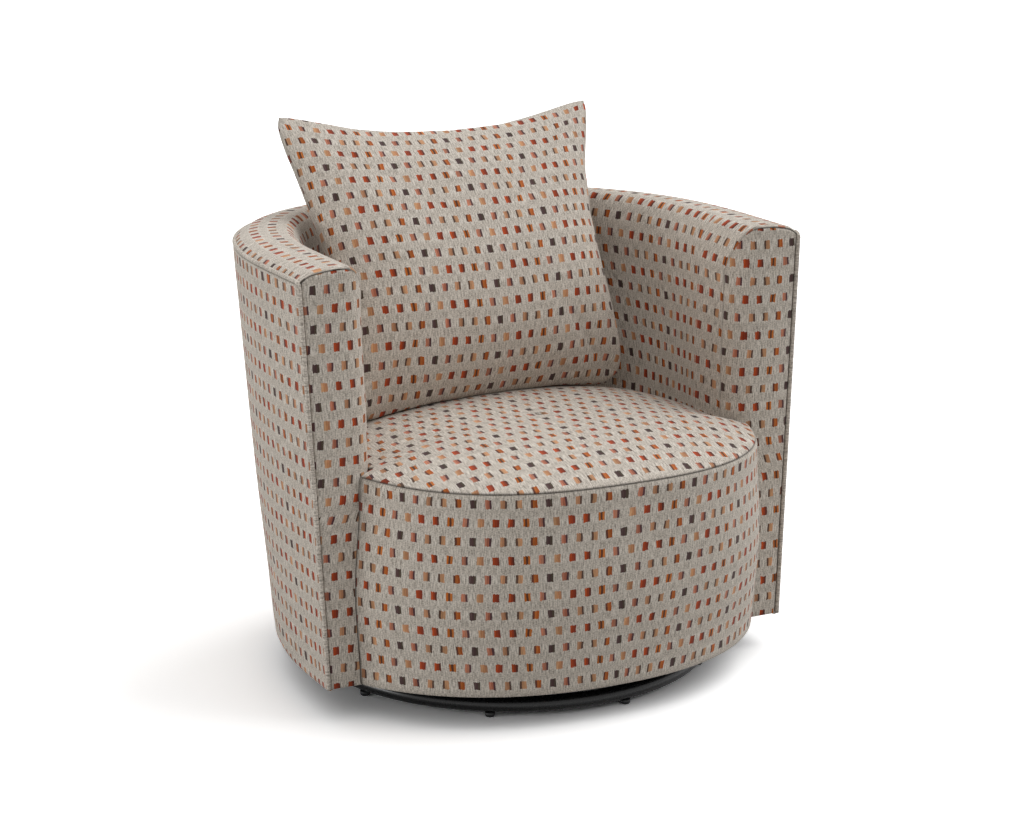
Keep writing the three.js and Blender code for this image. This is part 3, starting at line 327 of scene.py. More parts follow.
# Jacquard upholstery of wool mixture: matt and soft, a grey mottled ground of thick and thin yarns,
# with small squares of coloured yarns that float upright on it
def jacquardFabric(name):
    material, tree, shader = startMaterial(
        name, {"Roughness": 0.92, "Specular IOR Level": 0.25, "Sheen Weight": 0.12, "Sheen Roughness": 0.5,
               "IOR": 1.5})
    weave = addNode(tree, "ShaderNodeUVMap", uv_map="weave")
    flat = addNode(tree, "ShaderNodeSeparateXYZ", [weave])
    sway = addNode(tree, "ShaderNodeTexNoise", {"Vector": weave, "Scale": 1 / jacquard["swayLength"],
                                                  "Detail": 1}, noise_dimensions="2D")
    swayParts = addNode(tree, "ShaderNodeSeparateColor", [sway.outputs["Color"]])
    across, along = (addNode(tree, "ShaderNodeMath", [swayParts.outputs[k], jacquard["sway"], flat.outputs[k]],
                             operation="MULTIPLY_ADD") for k in (0, 1))
    rowPlace = addNode(tree, "ShaderNodeMath", [along, jacquard["rowPitch"]], operation="DIVIDE")
    row, inRow = (addNode(tree, "ShaderNodeMath", [rowPlace], operation=part) for part in ("FLOOR", "FRACT"))
    odd = addNode(tree, "ShaderNodeMath", [row, 2], operation="FLOORED_MODULO")
    columnPlain = addNode(tree, "ShaderNodeMath", [across, jacquard["columnPitch"]], operation="DIVIDE")
    columnPlace = addNode(tree, "ShaderNodeMath", [odd, 0.5, columnPlain], operation="MULTIPLY_ADD")
    column, inColumn = (addNode(tree, "ShaderNodeMath", [columnPlace], operation=part)
                        for part in ("FLOOR", "FRACT"))
    # which of the ten squares, and which of its three yarns
    fifth = addNode(tree, "ShaderNodeMath", [column, 5], operation="FLOORED_MODULO")
    which = addNode(tree, "ShaderNodeMath", [odd, 5, fifth], operation="MULTIPLY_ADD")
    halfWide = jacquard["squareWidth"] / jacquard["columnPitch"] / 2
    halfHigh = jacquard["squareHeight"] / jacquard["rowPitch"] / 2
    stripePlace = addNode(tree, "ShaderNodeMapRange", {0: inColumn, 1: 0.5 - halfWide, 2: 0.5 + halfWide,
                                                       3: 0, 4: 2.999})
    stripe = addNode(tree, "ShaderNodeMath", [stripePlace], operation="FLOOR")
    third = addNode(tree, "ShaderNodeMath", [which, 3, stripe], operation="MULTIPLY_ADD")
    rampPlace = addNode(tree, "ShaderNodeMapRange", {0: third, 1: -0.5, 2: 29.5, 3: 0, 4: 1})
    yarnColours = addNode(tree, "ShaderNodeValToRGB", [rampPlace])
    flatList = [colour for square in jacquard["squares"] for colour in square]
    setRamp(yarnColours, [(k / 30, colour) for k, colour in enumerate(flatList)], "CONSTANT")
    # upright yarns of the ground, each a little longer or lighter than the next
    yarnPlace = addNode(tree, "ShaderNodeMapping", {"Vector": weave, "Scale": (
        1 / jacquard["yarn"], 1 / jacquard["slub"], 1)})
    yarns = addNode(tree, "ShaderNodeTexNoise", {"Vector": yarnPlace, "Scale": 0.9, "Detail": 2.5,
                                                 "Roughness": 0.62}, noise_dimensions="2D")
    weftPlace = addNode(tree, "ShaderNodeMapping", {"Vector": weave, "Scale": (
        0.35 / jacquard["yarn"], 1 / jacquard["yarn"], 1)})
    wefts = addNode(tree, "ShaderNodeTexNoise", {"Vector": weftPlace, "Scale": 0.9, "Detail": 1.5},
                    noise_dimensions="2D")
    mottle = addNode(tree, "ShaderNodeMath", [wefts, jacquard["weftShare"], addNode(
        tree, "ShaderNodeMath", [yarns, 1 - jacquard["weftShare"]], operation="MULTIPLY")], operation="MULTIPLY_ADD")
    ground = addNode(tree, "ShaderNodeValToRGB", [mottle])
    setRamp(ground, [(0.36, jacquard["groundDark"]), (0.49, jacquard["groundMiddle"]),
                     (0.63, jacquard["groundLight"])])
    fromMiddle, sideways = (addNode(tree, "ShaderNodeMath", [addNode(
        tree, "ShaderNodeMath", [part, 0.5], operation="SUBTRACT")], operation="ABSOLUTE")
        for part in (inRow, inColumn))
    # pale floats between the squares of one row
    inBand = addNode(tree, "ShaderNodeMapRange", {0: fromMiddle, 1: 0.26, 2: 0.33, 3: 0.5, 4: 0})
    floats = addNode(tree, "ShaderNodeMapRange", {0: yarns, 1: 0.44, 2: 0.58, 3: 0, 4: inBand})
    paleGround = addNode(tree, "ShaderNodeMix", {0: floats, 6: ground, 7: linear(jacquard["floatLight"])},
                         data_type="RGBA")
    # the square's edges step from yarn to yarn
    yarnIndex = addNode(tree, "ShaderNodeMath", [across, jacquard["yarn"]], operation="DIVIDE")
    yarnCell = addNode(tree, "ShaderNodeMath", [yarnIndex], operation="FLOOR")
    stepNoise, dye = (addNode(tree, "ShaderNodeTexWhiteNoise", {"Vector": addNode(
        tree, "ShaderNodeCombineXYZ", [cell, row])}, noise_dimensions="2D") for cell in (yarnCell, column))
    stepped = addNode(tree, "ShaderNodeMath", [stepNoise, 0.05, fromMiddle], operation="MULTIPLY_ADD")
    insideRow = addNode(tree, "ShaderNodeMath", [stepped, halfHigh + 0.025], operation="LESS_THAN")
    insideColumn = addNode(tree, "ShaderNodeMath", [sideways, halfWide], operation="LESS_THAN")
    square = addNode(tree, "ShaderNodeMath", [insideRow, insideColumn], operation="MULTIPLY")
    # each square a little lighter or darker than its neighbours, and so is each yarn in it
    dyeShade = addNode(tree, "ShaderNodeMapRange", [dye, 0, 1, *jacquard["dyeRange"]])
    yarnShade = addNode(tree, "ShaderNodeMapRange", [yarns, 0.3, 0.7, *jacquard["yarnRange"]])
    shade = addNode(tree, "ShaderNodeMath", [dyeShade, yarnShade], operation="MULTIPLY")
    dyed = addNode(tree, "ShaderNodeHueSaturation", {"Color": yarnColours, "Value": shade})
    cloth = addNode(tree, "ShaderNodeMix", {0: square, 6: paleGround.outputs[2], 7: dyed}, data_type="RGBA")
    # painted shade: a mesh attribute darkens the cloth towards the painted shade colour in seams, under the welt and in
    # gaps between covers
    paintedShade = addNode(tree, "ShaderNodeAttribute", attribute_name="paintedShade")
    withPaintedShade = addNode(tree, "ShaderNodeMix", {0: paintedShade.outputs["Fac"], 6: cloth.outputs[2],
                                              7: linear(jacquard["paintedShadeColour"])}, data_type="RGBA")
    tree.links.new(withPaintedShade.outputs[2], shader.inputs["Base Color"])
    relief = addNode(tree, "ShaderNodeMath", [square, 0.5, mottle], operation="MULTIPLY_ADD")
    strength, depth = jacquard["bump"]
    bump = addNode(tree, "ShaderNodeBump", {"Strength": strength, "Distance": depth, "Height": relief})
    tree.links.new(bump.outputs[0], shader.inputs["Normal"])
    return material


# pattern: how long its marks are along x, y and z, and the noise that draws them; tones from dark to light;
# bump: strength and depth; gloss: a range of the pattern and the roughness there; relief: a second pattern for
# the bump; dots: their spacing and depth
plainFinishes = {
    # Birch plywood, rotary cut and sawn: pale and dull, with long streaks of grain
    "birchPlywoodSawn": {
        "shader": {"Roughness": 0.62, "IOR": 1.5},
        "pattern": ((0.071429, 0.0052632, 0.0052632), {"Detail": 5, "Roughness": 0.6}),
        "tones": [(0.3, "#B98F5E"), (0.5, "#D2AE7E"), (0.7, "#E2C79C")], "bump": (0.2, 0.0003)},
    # Zinc-plated pressed steel: a cool grey metal with cloudy patches and fine rolling marks
    "zincPlatedSteelRolled": {
        "shader": {"Metallic": 1.0}, "pattern": ((0.0166667, 0.0166667, 0.0166667), {"Detail": 4}),
        "tones": [(0.3, "#A3A6A8"), (0.7, "#C6C8C9")], "bump": (0.08, 0.0002), "gloss": (0.3, 0.7, 0.26, 0.42),
        "relief": ((0.0004, 0.025, 0.025), {"Detail": 2})},
    # Black enamel on steel tube, stoved: deep black with a low gloss, and the faint ripple of sprayed paint
    "blackEnamelStoved": {
        "shader": {"IOR": 1.5, "Specular IOR Level": 0.3, "Coat Weight": 0.1, "Coat Roughness": 0.12},
        "pattern": ((0.00238095, 0.00238095, 0.00238095), {"Detail": 2}),
        "tones": [(0.3, "#080809"), (0.7, "#101011")], "bump": (0.12, 0.0002), "gloss": (0.3, 0.7, 0.24, 0.36)},
    # Nylon, injection moulded: black and half matt, with the mould's spark-eroded grain, drawn coarser than its 0.1 mm
    "blackNylonMoulded": {
        "shader": {"IOR": 1.53}, "pattern": ((0.000625, 0.000625, 0.000625), {"Detail": 2}),
        "tones": [(0.3, "#141414"), (0.7, "#222223")], "bump": (0.2, 0.0001), "gloss": (0, 1, 0.42, 0.62)},
    # Spunbond polypropylene, bonded in points: thin black cloth with a dull grid of pressed dots,
    # 3 mm apart, coarser than the real 1 mm so that they show
    "blackSpunbondCloth": {
        "shader": {"IOR": 1.49, "Sheen Weight": 0.1}, "dots": (0.003, 0.3),
        "pattern": ((0.00111111, 0.00111111, 0.00111111), {"Detail": 3}),
        "tones": [(0.2, "#121213"), (0.8, "#2A2A2B")], "bump": (0.4, 0.0003), "gloss": (0, 1, 0.95, 0.7)},
}


def plainFinish(name, made):
    material, tree, shader = startMaterial(name, made["shader"])
    place = addNode(tree, "ShaderNodeTexCoord")
    patterns = []
    for size, settings in [made[key] for key in ("pattern", "relief") if key in made]:
        fitted = addNode(tree, "ShaderNodeMapping", {"Vector": place.outputs["Object"],
                                                     "Scale": [1 / side for side in size]})
        patterns.append(addNode(tree, "ShaderNodeTexNoise", {"Vector": fitted, "Scale": 1, **settings}))
    if "dots" in made:
        pitch, depth = made["dots"]
        flat = addNode(tree, "ShaderNodeSeparateXYZ", [place.outputs["Object"]])
        waves = [addNode(tree, "ShaderNodeMath", [addNode(
            tree, "ShaderNodeMath", [flat.outputs[axis], 2 * math.pi / pitch], operation="MULTIPLY")],
            operation="SINE") for axis in (0, 1)]
        dots = addNode(tree, "ShaderNodeMath", waves, operation="MULTIPLY")
        patterns[0] = addNode(tree, "ShaderNodeMath", [dots, depth, patterns[0]], operation="MULTIPLY_ADD")
    tone = addNode(tree, "ShaderNodeValToRGB", [patterns[0]])
    setRamp(tone, made["tones"])
    tree.links.new(tone.outputs[0], shader.inputs["Base Color"])
    if "gloss" in made:
        rough = addNode(tree, "ShaderNodeMapRange", [patterns[0], *made["gloss"]])
        tree.links.new(rough.outputs[0], shader.inputs["Roughness"])
    strength, depth = made["bump"]
    raised = addNode(tree, "ShaderNodeBump", {"Strength": strength, "Distance": depth, "Height": patterns[-1]})
    tree.links.new(raised.outputs[0], shader.inputs["Normal"])
    return material


fabric = jacquardFabric("greyJacquardWoven")
plywood, zinc, enamel, nylon, spunbond = (plainFinish(name, made) for name, made in plainFinishes.items())
finishes = {"timber": plywood, "steel": zinc, "black_metal": enamel, "nylon": nylon, "black_cloth": spunbond,
            "upholstery": fabric, "foam": fabric}
for subpart in frame["record"]["subparts"]:
    carried = nodes[subpart["node"]].data.materials
    carried.clear()
    carried.append(finishes[subpart["material_slot"]])
print("stage: materials")

# covers of the arms and back

wall = {
    "hem": 0.055, "rim": 0.702, "straightShare": 2 / 24, "cloth": 0.002, "faceInset": 0.0025,
    # the outer face, at the hem and at the rim
    "halfWidth": (0.4135, 0.445), "back": (0.3865, 0.4065), "front": (-0.196, -0.183),
    "archStart": (-0.137, -0.063), "squareness": (2.24, 2.5),
    # the inner face, whose back leans from the lumbar height to the foot of the roll
    "innerHalfWidth": 0.327, "innerFullness": 0.006, "innerBack": (0.202, 0.339), "innerSquareness": 2.4,
    "lumbar": 0.430, "rollFoot": 0.645, "wallFoot": 0.352,
    # the inner corner of the arms' fronts, above the seat and beside the drum
    "cornerRadius": 0.045, "tuckedRadius": 0.013,
    # the rolled seam over the fronts: how far it lies inside the outer face, how deep and wide its stitches pull
    # in, the painted shade in its fold, and that shade's width
    "seamRoll": 0.0075, "seamInset": 0.0068, "pinch": 0.0012, "pinchWidth": 0.0018, "seamPaintedShade": 0.8,
    "seamShadeWidth": 0.0010,
    # the height at which the cloth's columns are spaced evenly, and the width of the crown
    "weaveAt": 0.645, "crownWidth": 0.104,
    # from the welt over the crown to the foot of the inner roll: share across, height above the floor
    "crown": [(0.040, 0.6985), (0.052, 0.7012), (0.072, 0.7040), (0.12, 0.7083), (0.2, 0.7128), (0.4, 0.7172),
              (0.6, 0.7185), (0.74, 0.7168), (0.85, 0.7062), (0.93, 0.6895), (0.985, 0.6660), (1.0, 0.6450)],
}


def outerPlan(height):
    share = (height - wall["hem"]) / (wall["rim"] - wall["hem"])
    return {key: mix(*wall[key], share) for key in ("halfWidth", "back", "front", "archStart", "squareness")}


def innerPlan(height):
    share = np.clip((height - wall["lumbar"]) / (wall["rollFoot"] - wall["lumbar"]), 0, 1)
    share = mix(share, smooth(share), 0.5)
    full = wall["innerFullness"] * smooth((wall["rollFoot"] - height) / 0.2)
    return {"halfWidth": wall["innerHalfWidth"] - full, "back": mix(*wall["innerBack"], share),
            "front": outerPlan(height)["front"], "archStart": wall["archStart"][1],
            "squareness": wall["innerSquareness"]}


def planPoint(plan, place):  # place from 0 at the left arm's front to 1 at the right arm's front
    place = np.asarray(place, dtype=float)
    straight = wall["straightShare"]
    fromFront = np.minimum(place, 1 - place) / straight
    angle = math.pi * (1 - (place - straight) / (1 - 2 * straight))
    power = 2 / plan["squareness"]
    bend = np.cos(angle)
    x = plan["halfWidth"] * np.sign(bend) * np.abs(bend) ** power
    y = plan["archStart"] + (plan["back"] - plan["archStart"]) * np.abs(np.sin(angle)) ** power
    side = np.where(place < 0.5, -1, 1)
    x = np.where(fromFront < 1, side * plan["halfWidth"], x)
    y = np.where(fromFront < 1, mix(plan["front"], plan["archStart"], fromFront), y)
    return np.stack([x, y], axis=-1)


def planNormal(plan, place):
    step = 2e-4
    ahead = planPoint(plan, np.minimum(place + step, 1)) - planPoint(plan, np.maximum(place - step, 0))
    return unit(np.stack([-ahead[..., 1], ahead[..., 0]], axis=-1))


def outerPoint(place, height, inset):
    plan = outerPlan(height)
    flat = planPoint(plan, place) - planNormal(plan, place) * inset
    return np.concatenate([flat, np.full(flat.shape[:-1] + (1,), height)], axis=-1)


def facingFace(height):
    return outerPlan(height)["front"] + wall["faceInset"]


def roundedCurve(points, count):  # Catmull-Rom through the points, then evenly spaced
    points = np.asarray(points, dtype=float)
    ends = np.concatenate([[2 * points[0] - points[1]], points, [2 * points[-1] - points[-2]]])
    dense = []
    for k in range(1, len(ends) - 2):
        a, b, c, d = ends[k - 1:k + 3]
        t = np.linspace(0, 1, 24, endpoint=False)[:, None]
        dense.append(0.5 * (2 * b + (c - a) * t + (2 * a - 5 * b + 4 * c - d) * t ** 2
                            + (3 * b - a - 3 * c + d) * t ** 3))
    dense = np.concatenate(dense + [points[-1:]])
    return evenlyAlong(dense, count, runAlong(dense * [wall["crownWidth"], 1]))


def evenPlaces(count):  # places at even steps of length along the inner wall
    fine = np.linspace(0, 1, 4001)
    lengths = runAlong(planPoint(innerPlan(wall["weaveAt"]), fine))
    return evenlyAlong(fine[:, None], count, lengths)[:, 0], lengths[-1]


outside = {
    # the last value is the painted shade where the cover tucks under the welt and at its front ends
    "fullness": 0.0026, "swell": 0.0011, "columns": 260, "rows": 60, "endInset": 0.0066, "edgePaintedShade": 0.8,
    "weaveShift": (0.007, -0.004),
    # its hem turned in, and its upper edge under the welt: height from the hem or the welt's underside, inset
    "hemRows": [(0.010, 0.011), (0.001, 0.010), (0, 0.0065), (0.001, 0.0035)],
    "underWelt": [(-0.003, 0.0029), (-0.0008, 0.0045), (0.001, 0.0075)],
}


def addOutsideCover():
    places, _ = evenPlaces(outside["columns"])
    weltFoot = wall["rim"] - welt["radius"]
    rows = [(wall["hem"] + rise, inset) for rise, inset in outside["hemRows"]]
    heights = np.linspace(wall["hem"] + 0.004, weltFoot - 0.006, outside["rows"])
    rows += [(height, wall["faceInset"]) for height in heights]
    rows += [(weltFoot + rise, inset) for rise, inset in outside["underWelt"]]
    grid = np.array([outerPoint(places, height, inset) for height, inset in rows])
    # the front ends stop under the welt
    height = grid[..., 2]
    for column in (0, -1):
        grid[:, column, 1] = outerPlan(height[:, column])["front"] + outside["endInset"]
    fade = smooth((height - wall["hem"]) / 0.05) * smooth((weltFoot - height) / 0.05)
    outward = planNormal(outerPlan(0.4), places)
    share = np.clip((height - wall["hem"]) / (weltFoot - wall["hem"]), 0, 1)
    fromEnds = smooth((grid[..., 1] - outerPlan(height)["front"]) / 0.1)
    swell = unevenness(grid[..., 0], grid[..., 1], height, outside["swell"]) * fade
    swell += outside["fullness"] * np.sin(math.pi * share) * fromEnds
    grid[..., :2] += swell[..., None] * outward
    along = runAlong(grid[len(rows) // 2])
    up = lengthAlong(grid[:, :1], 0)[:, 0]
    weave = gridWeave(along, up, outside["weaveShift"])
    # painted shade under the welt and along the front ends, where the cloth tucks in
    paintedShade = np.zeros(height.shape)
    paintedShade[-2:] = paintedShade[:, [0, -1]] = outside["edgePaintedShade"]
    piece = sheetPiece("outsideCover", grid, weave, paintedShade, fabric, wall["cloth"])
    dress(piece, "chair", "upholstery", "outside_cover")


def profileAt(x):  # height of the crown above the front of an arm at a distance from the middle
    outer = wall["halfWidth"][1]
    across = (outer - np.abs(x)) / (outer - wall["innerHalfWidth"])
    return np.interp(across, crownCurve[:, 0], crownCurve[:, 1])


def seamWeight(x):  # the seam across the arm's front fades towards the inner corner
    return smooth((np.abs(x) - wall["innerHalfWidth"] - 0.012) / 0.028)


def cornerRadiusAt(height):  # the inner corner is tucked in tighter beside the drum
    return mix(wall["tuckedRadius"], wall["cornerRadius"], smooth((height - 0.29) / 0.08))


def cornerSetback(x, radius, innerHalf):
    along = np.clip(innerHalf + radius - np.abs(x), 0, radius)
    return radius - np.sqrt(radius ** 2 - along ** 2)


def pinched(room):  # how deep the seam's stitches pull the cloth in, at a distance from them
    return wall["pinch"] * np.exp(-(room / wall["pinchWidth"]) ** 2)


# painted shade in the rolled seam's fold, at a distance from its stitches
def paintedSeamShadeAt(room):
    return wall["seamPaintedShade"] * np.exp(-(room / wall["seamShadeWidth"]) ** 2)


inside = {
    # the last value is the painted shade along the top row, where the cloth tucks under the welt
    "columns": 300, "crownRows": 34, "wallRows": 45, "swell": 0.0012, "rimPaintedShade": 0.7,
    "frontReach": 0.12,  # how far back it bends with the arms' fronts
}
crownCurve = roundedCurve(wall["crown"], inside["crownRows"])


def addInsideCover():
    places, wallLength = evenPlaces(inside["columns"])
    wallHeights = np.linspace(wall["rollFoot"], wall["wallFoot"], inside["wallRows"] + 1)[1:]
    rows = len(crownCurve) + len(wallHeights)
    grid = np.zeros((rows, len(places), 3))
    start = outerPoint(places, wall["rim"], 0)[:, :2]
    end = planPoint(innerPlan(wall["rollFoot"]), places)
    for i, (across, height) in enumerate(crownCurve):
        grid[i, :, :2] = mix(start, end, across)
        grid[i, :, 2] = height
    for i, height in enumerate(wallHeights):
        grid[len(crownCurve) + i, :, :2] = planPoint(innerPlan(height), places)
        grid[len(crownCurve) + i, :, 2] = height
    up = lengthAlong(grid, 0)
    up = up[len(crownCurve) - 1][None] - up
    along = np.linspace(0, wallLength, len(places))
    # the ends follow the rounded front of the arms, with a rolled seam over the crown
    roll = wall["seamRoll"]
    face = outerPlan(grid[..., 2])["front"] + wall["faceInset"]
    setback = cornerSetback(grid[..., 0], cornerRadiusAt(grid[..., 2]), innerPlan(grid[..., 2])["halfWidth"])
    weight = seamWeight(grid[..., 0])
    paintedShade = np.zeros(grid.shape[:2])
    for ends in (places < 0.25, places > 0.75):
        fromFront = grid[..., 1] - outerPlan(grid[..., 2])["front"]
        ease = np.clip(1 - fromFront / inside["frontReach"], 0, 1) ** 2
        room = np.maximum(fromFront - (setback + wall["faceInset"]) * ease, 0)
        room = np.where(ends[None], room, 1)
        turn = math.pi / 4 * np.clip(1 - room / roll, 0, 1)
        newY = np.where(room < roll, face + setback + roll * (1 - np.sin(turn)) * weight + room * (1 - weight),
                        face + setback + room)
        drop = roll * (1 - np.cos(turn)) * weight + pinched(room) * weight
        keep = ends[None] & (fromFront < inside["frontReach"])
        grid[..., 1] = np.where(keep, newY, grid[..., 1])
        grid[..., 2] -= np.where(keep, drop, 0)
        # painted shade in the rolled seam's fold
        paintedShade = np.maximum(paintedShade, np.where(keep, paintedSeamShadeAt(room) * weight, 0))
    # painted shade along the top row under the welt
    paintedShade[0] = inside["rimPaintedShade"]
    weave = gridWeave(along, up)
    fade = smooth((wall["rim"] + 0.016 - grid[..., 2]) / 0.03) * smooth((grid[..., 1] + 0.12) / 0.08)
    swell = unevenness(grid[..., 0] + 0.4, grid[..., 1], grid[..., 2], inside["swell"]) * fade
    grid[..., :2] -= swell[..., None] * planNormal(innerPlan(0.6), places)
    piece = sheetPiece("insideCover", grid, weave, paintedShade, fabric, wall["cloth"])
    dress(piece, "chair", "upholstery", "inside_cover", "arm_and_back_foam")
    return wallLength


facing = {
    "rows": (90, 13), "closeFrom": 0.97,  # rows of the plain face and of the roll, which starts at that share
    "columns": (34, 18),  # columns of the flat face and of the rounded corner
    # this line also holds the painted shade along the flat face's outer edge under the welt, and that strip's width
    "fullness": 0.0022, "edgeDip": 0.004, "edgePaintedShade": 0.6, "edgeShadeWidth": 0.0012, "hemLift": 0.0016,
    "weaveShift": 0.002, "rolledFrom": 0.044,  # the seam rolls only where the corner is this round
    # the hem turned under: back, height from the hem, way back along the weave
    "hemRows": [(0.010, 0.006, 0.012), (0.004, -0.0004, 0.005)],
}


def addFacing(side, wallLength):
    plainRows, closeRows = facing["rows"]
    share = np.concatenate([np.linspace(0, facing["closeFrom"], plainRows),
                            mix(facing["closeFrom"], 1, np.linspace(0, 1, closeRows + 1)[1:])])[:, None]
    flatColumns, cornerColumns = facing["columns"]
    flat = np.append(np.linspace(0, 1, flatColumns), np.ones(cornerColumns))
    corner = np.append(np.zeros(flatColumns), np.linspace(0, math.pi / 2, cornerColumns + 1)[1:])
    crownX = mix(wall["halfWidth"][1] - wall["seamInset"], wall["innerHalfWidth"] + wall["cornerRadius"], flat)
    crown = profileAt(crownX - wall["cornerRadius"] * np.sin(corner))
    height = wall["hem"] + share * (crown - wall["hem"])
    plan, radius, inner = outerPlan(height), cornerRadiusAt(height), innerPlan(height)["halfWidth"]
    outer = plan["halfWidth"] - wall["seamInset"]
    x = mix(outer, inner + radius, flat) - radius * np.sin(corner)
    y = plan["front"] + wall["faceInset"] + radius - radius * np.cos(corner)
    # the rolled seam over the crown
    roll, room, edge = wall["seamRoll"], crown - height, outer - x
    weight = np.where(radius > facing["rolledFrom"], seamWeight(x), 0)
    turn = math.pi / 4 * np.clip(1 - room / roll, 0, 1)
    height = np.where(room < roll, crown - mix(room, roll * (1 - np.sin(turn)), weight), height)
    y += np.where(room < roll, roll * (1 - np.cos(turn)) + pinched(room), 0) * weight
    # the flat face dips under the welt and is a little full in its middle
    y += facing["edgeDip"] * np.clip(1 - edge / facing["edgeDip"], 0, None) ** 2 * (corner == 0)
    y -= facing["fullness"] * np.sin(math.pi * flat) ** 0.8 * np.sin(math.pi * share) ** 0.5 * (corner == 0)
    grid = np.stack([side * x, y, height], axis=-1)
    # the sheet's yarns run on from the inner wall round the corner
    around = np.where(corner > 0, radius * (math.pi / 2 - corner), radius * math.pi / 2 + x - inner - radius)
    weave = np.stack([-around - facing["weaveShift"], height - wall["rollFoot"]], axis=-1)
    if side > 0:
        weave[..., 0] = wallLength - weave[..., 0]
    # painted shade in the rolled seam's fold and in a thin strip along the outer edge under the welt
    paintedShade = np.maximum(paintedSeamShadeAt(room) * weight, facing["edgePaintedShade"] * (edge < facing["edgeShadeWidth"]) * (corner == 0))
    under, underWeave = grid[:2].copy(), weave[[0, 0]]
    for k, (back, rise, along) in enumerate(facing["hemRows"]):
        under[k, :, 1] += back
        under[k, :, 2] = wall["hem"] + rise
        underWeave[k] -= [0, along]
    grid[0, :, 2] += facing["hemLift"]
    grid = np.concatenate([under, grid])
    weave = np.concatenate([underWeave, weave])
    paintedShade = np.concatenate([paintedShade[:1], paintedShade[:1], paintedShade])
    hand = "left" if side < 0 else "right"
    piece = sheetPiece("facingCover" + hand.title(), grid, weave, paintedShade, fabric, wall["cloth"], flip=side > 0)
    dress(piece, "chair", "upholstery", "facing_cover_" + hand)


def tubeMesh(name, points, radius, sides, material, weaveRule):
    points = np.asarray(points, dtype=float)
    ahead = unit(np.gradient(points, axis=0))
    normal = unit(np.array([1.0, 0, 0]) - ahead[0] * ahead[0][0])
    rings, weave = [], []
    run = runAlong(points)
    along, first, wide = weaveRule
    for k, point in enumerate(points):
        normal = unit(normal - ahead[k] * normal.dot(ahead[k]))
        other = np.cross(ahead[k], normal)
        for j in range(sides):
            angle = 2 * math.pi * j / sides
            rings.append(point + radius * (math.cos(angle) * normal + math.sin(angle) * other))
            weave.append((run[k] * along, first + wide * abs(j / sides - 0.5)))
    faces = gridFaces(len(points), sides, closed=True)
    last = (len(points) - 1) * sides
    faces += [list(range(sides))[::-1], list(range(last, last + sides))]
    return meshPiece(name, rings, faces, material, weave, np.zeros(len(rings)))


welt = {"radius": 0.0035, "corner": 0.009, "sides": 10, "rows": 60, "rimRows": 240,
        # cut so that only the grey ground of the cloth shows on the cord: along, first line, width
        "weave": (0.9, 0.0215, 0.011)}


def addWelt():
    radius, corner = welt["radius"], welt["corner"]
    heights = np.linspace(wall["hem"] + 0.001, wall["rim"] - corner, welt["rows"])
    plans = [outerPlan(height) for height in heights]
    left = [(radius - plan["halfWidth"], plan["front"] + radius, height) for plan, height in zip(plans, heights)]
    plan = outerPlan(wall["rim"])
    for turn in np.linspace(0, math.pi / 2, 9)[1:]:
        left.append((radius - plan["halfWidth"], plan["front"] + radius + corner * (1 - math.cos(turn)),
                     wall["rim"] - corner * (1 - math.sin(turn))))
    start = (radius + corner + 0.004) / 0.12 * wall["straightShare"]
    rim = [tuple(outerPoint(place, wall["rim"], radius)) for place in np.linspace(start, 1 - start, welt["rimRows"])]
    right = [(-x, y, z) for x, y, z in left[::-1]]
    piece = tubeMesh("weltCord", left + rim + right, radius, welt["sides"], fabric, welt["weave"])
    dress(piece, "chair", "upholstery", "welt_cord")


addOutsideCover()
wallLength = addInsideCover()
for side in (-1, 1):
    addFacing(side, wallLength)
addWelt()
print("stage: covers of the arms and back")

# seat

seat = {
    "seam": 0.391, "crown": 0.043, "crownPower": 3.2, "back": 0.1985,
    # the drum, at its hem and at its top
    "hem": 0.055, "coverTop": 0.3877, "halfWidth": (0.403, 0.370), "front": (0.3785, 0.4065),
    # the last value is the painted shade along the seam between the seat top and the drum
    "squareness": (2.2, 2.6), "bulge": 0.007, "behindFacing": 0.022, "seamPaintedShade": 0.85,
}


def drumPlan(height, inset):
    share = (height - seat["hem"]) / (seat["coverTop"] - seat["hem"])
    bulge = seat["bulge"] * np.sin(math.pi * np.clip(share, 0, 1)) ** 2
    return (mix(*seat["halfWidth"], share) + bulge - inset, mix(*seat["front"], share) + bulge - inset,
            mix(*seat["squareness"], share))


def drumPoint(share, height, inset):  # share from -1 to 1, from behind the left facing to behind the right one
    halfWidth, front, squareness = drumPlan(height, inset)
    reach = np.clip((-facingFace(height) - seat["behindFacing"]) / front, 0, 1)
    limit = math.asin(min((1 - reach ** squareness) ** 0.5, 1))
    angle = share * limit
    power = 2 / squareness
    x = halfWidth * np.sign(np.sin(angle)) * np.abs(np.sin(angle)) ** power
    y = -front * np.abs(np.cos(angle)) ** power
    return np.stack([x, y, np.full(np.shape(x), height)], axis=-1)


border = {
    # columns stand closer where the facings meet the drum: length of that stretch, columns there, columns between
    "closeLength": 0.045, "closeColumns": 30, "columns": 205, "rows": 60, "fill": 0.8,
    "swell": 0.0016, "weaveShift": (0.004, 0.002),
    # the painted shade where the cloth dives in beside the facings, low down and near the top; its width
    "divePaintedShade": (0.95, 0.55), "diveShadeWidth": 0.0034,
    # the hem turned under, and the upper edge turned in: height above the floor, inset
    "hemRows": [(0.066, 0.013), (0.0562, 0.0125), (0.0552, 0.009), (0.0552, 0.005), (0.0566, 0.0022),
                (0.0590, 0.0006)],
    "topRows": [(0.3840, 0.0004), (0.3866, 0.0013), (0.3886, 0.0027), (0.3900, 0.0046), (0.3902, 0.0070)],
}


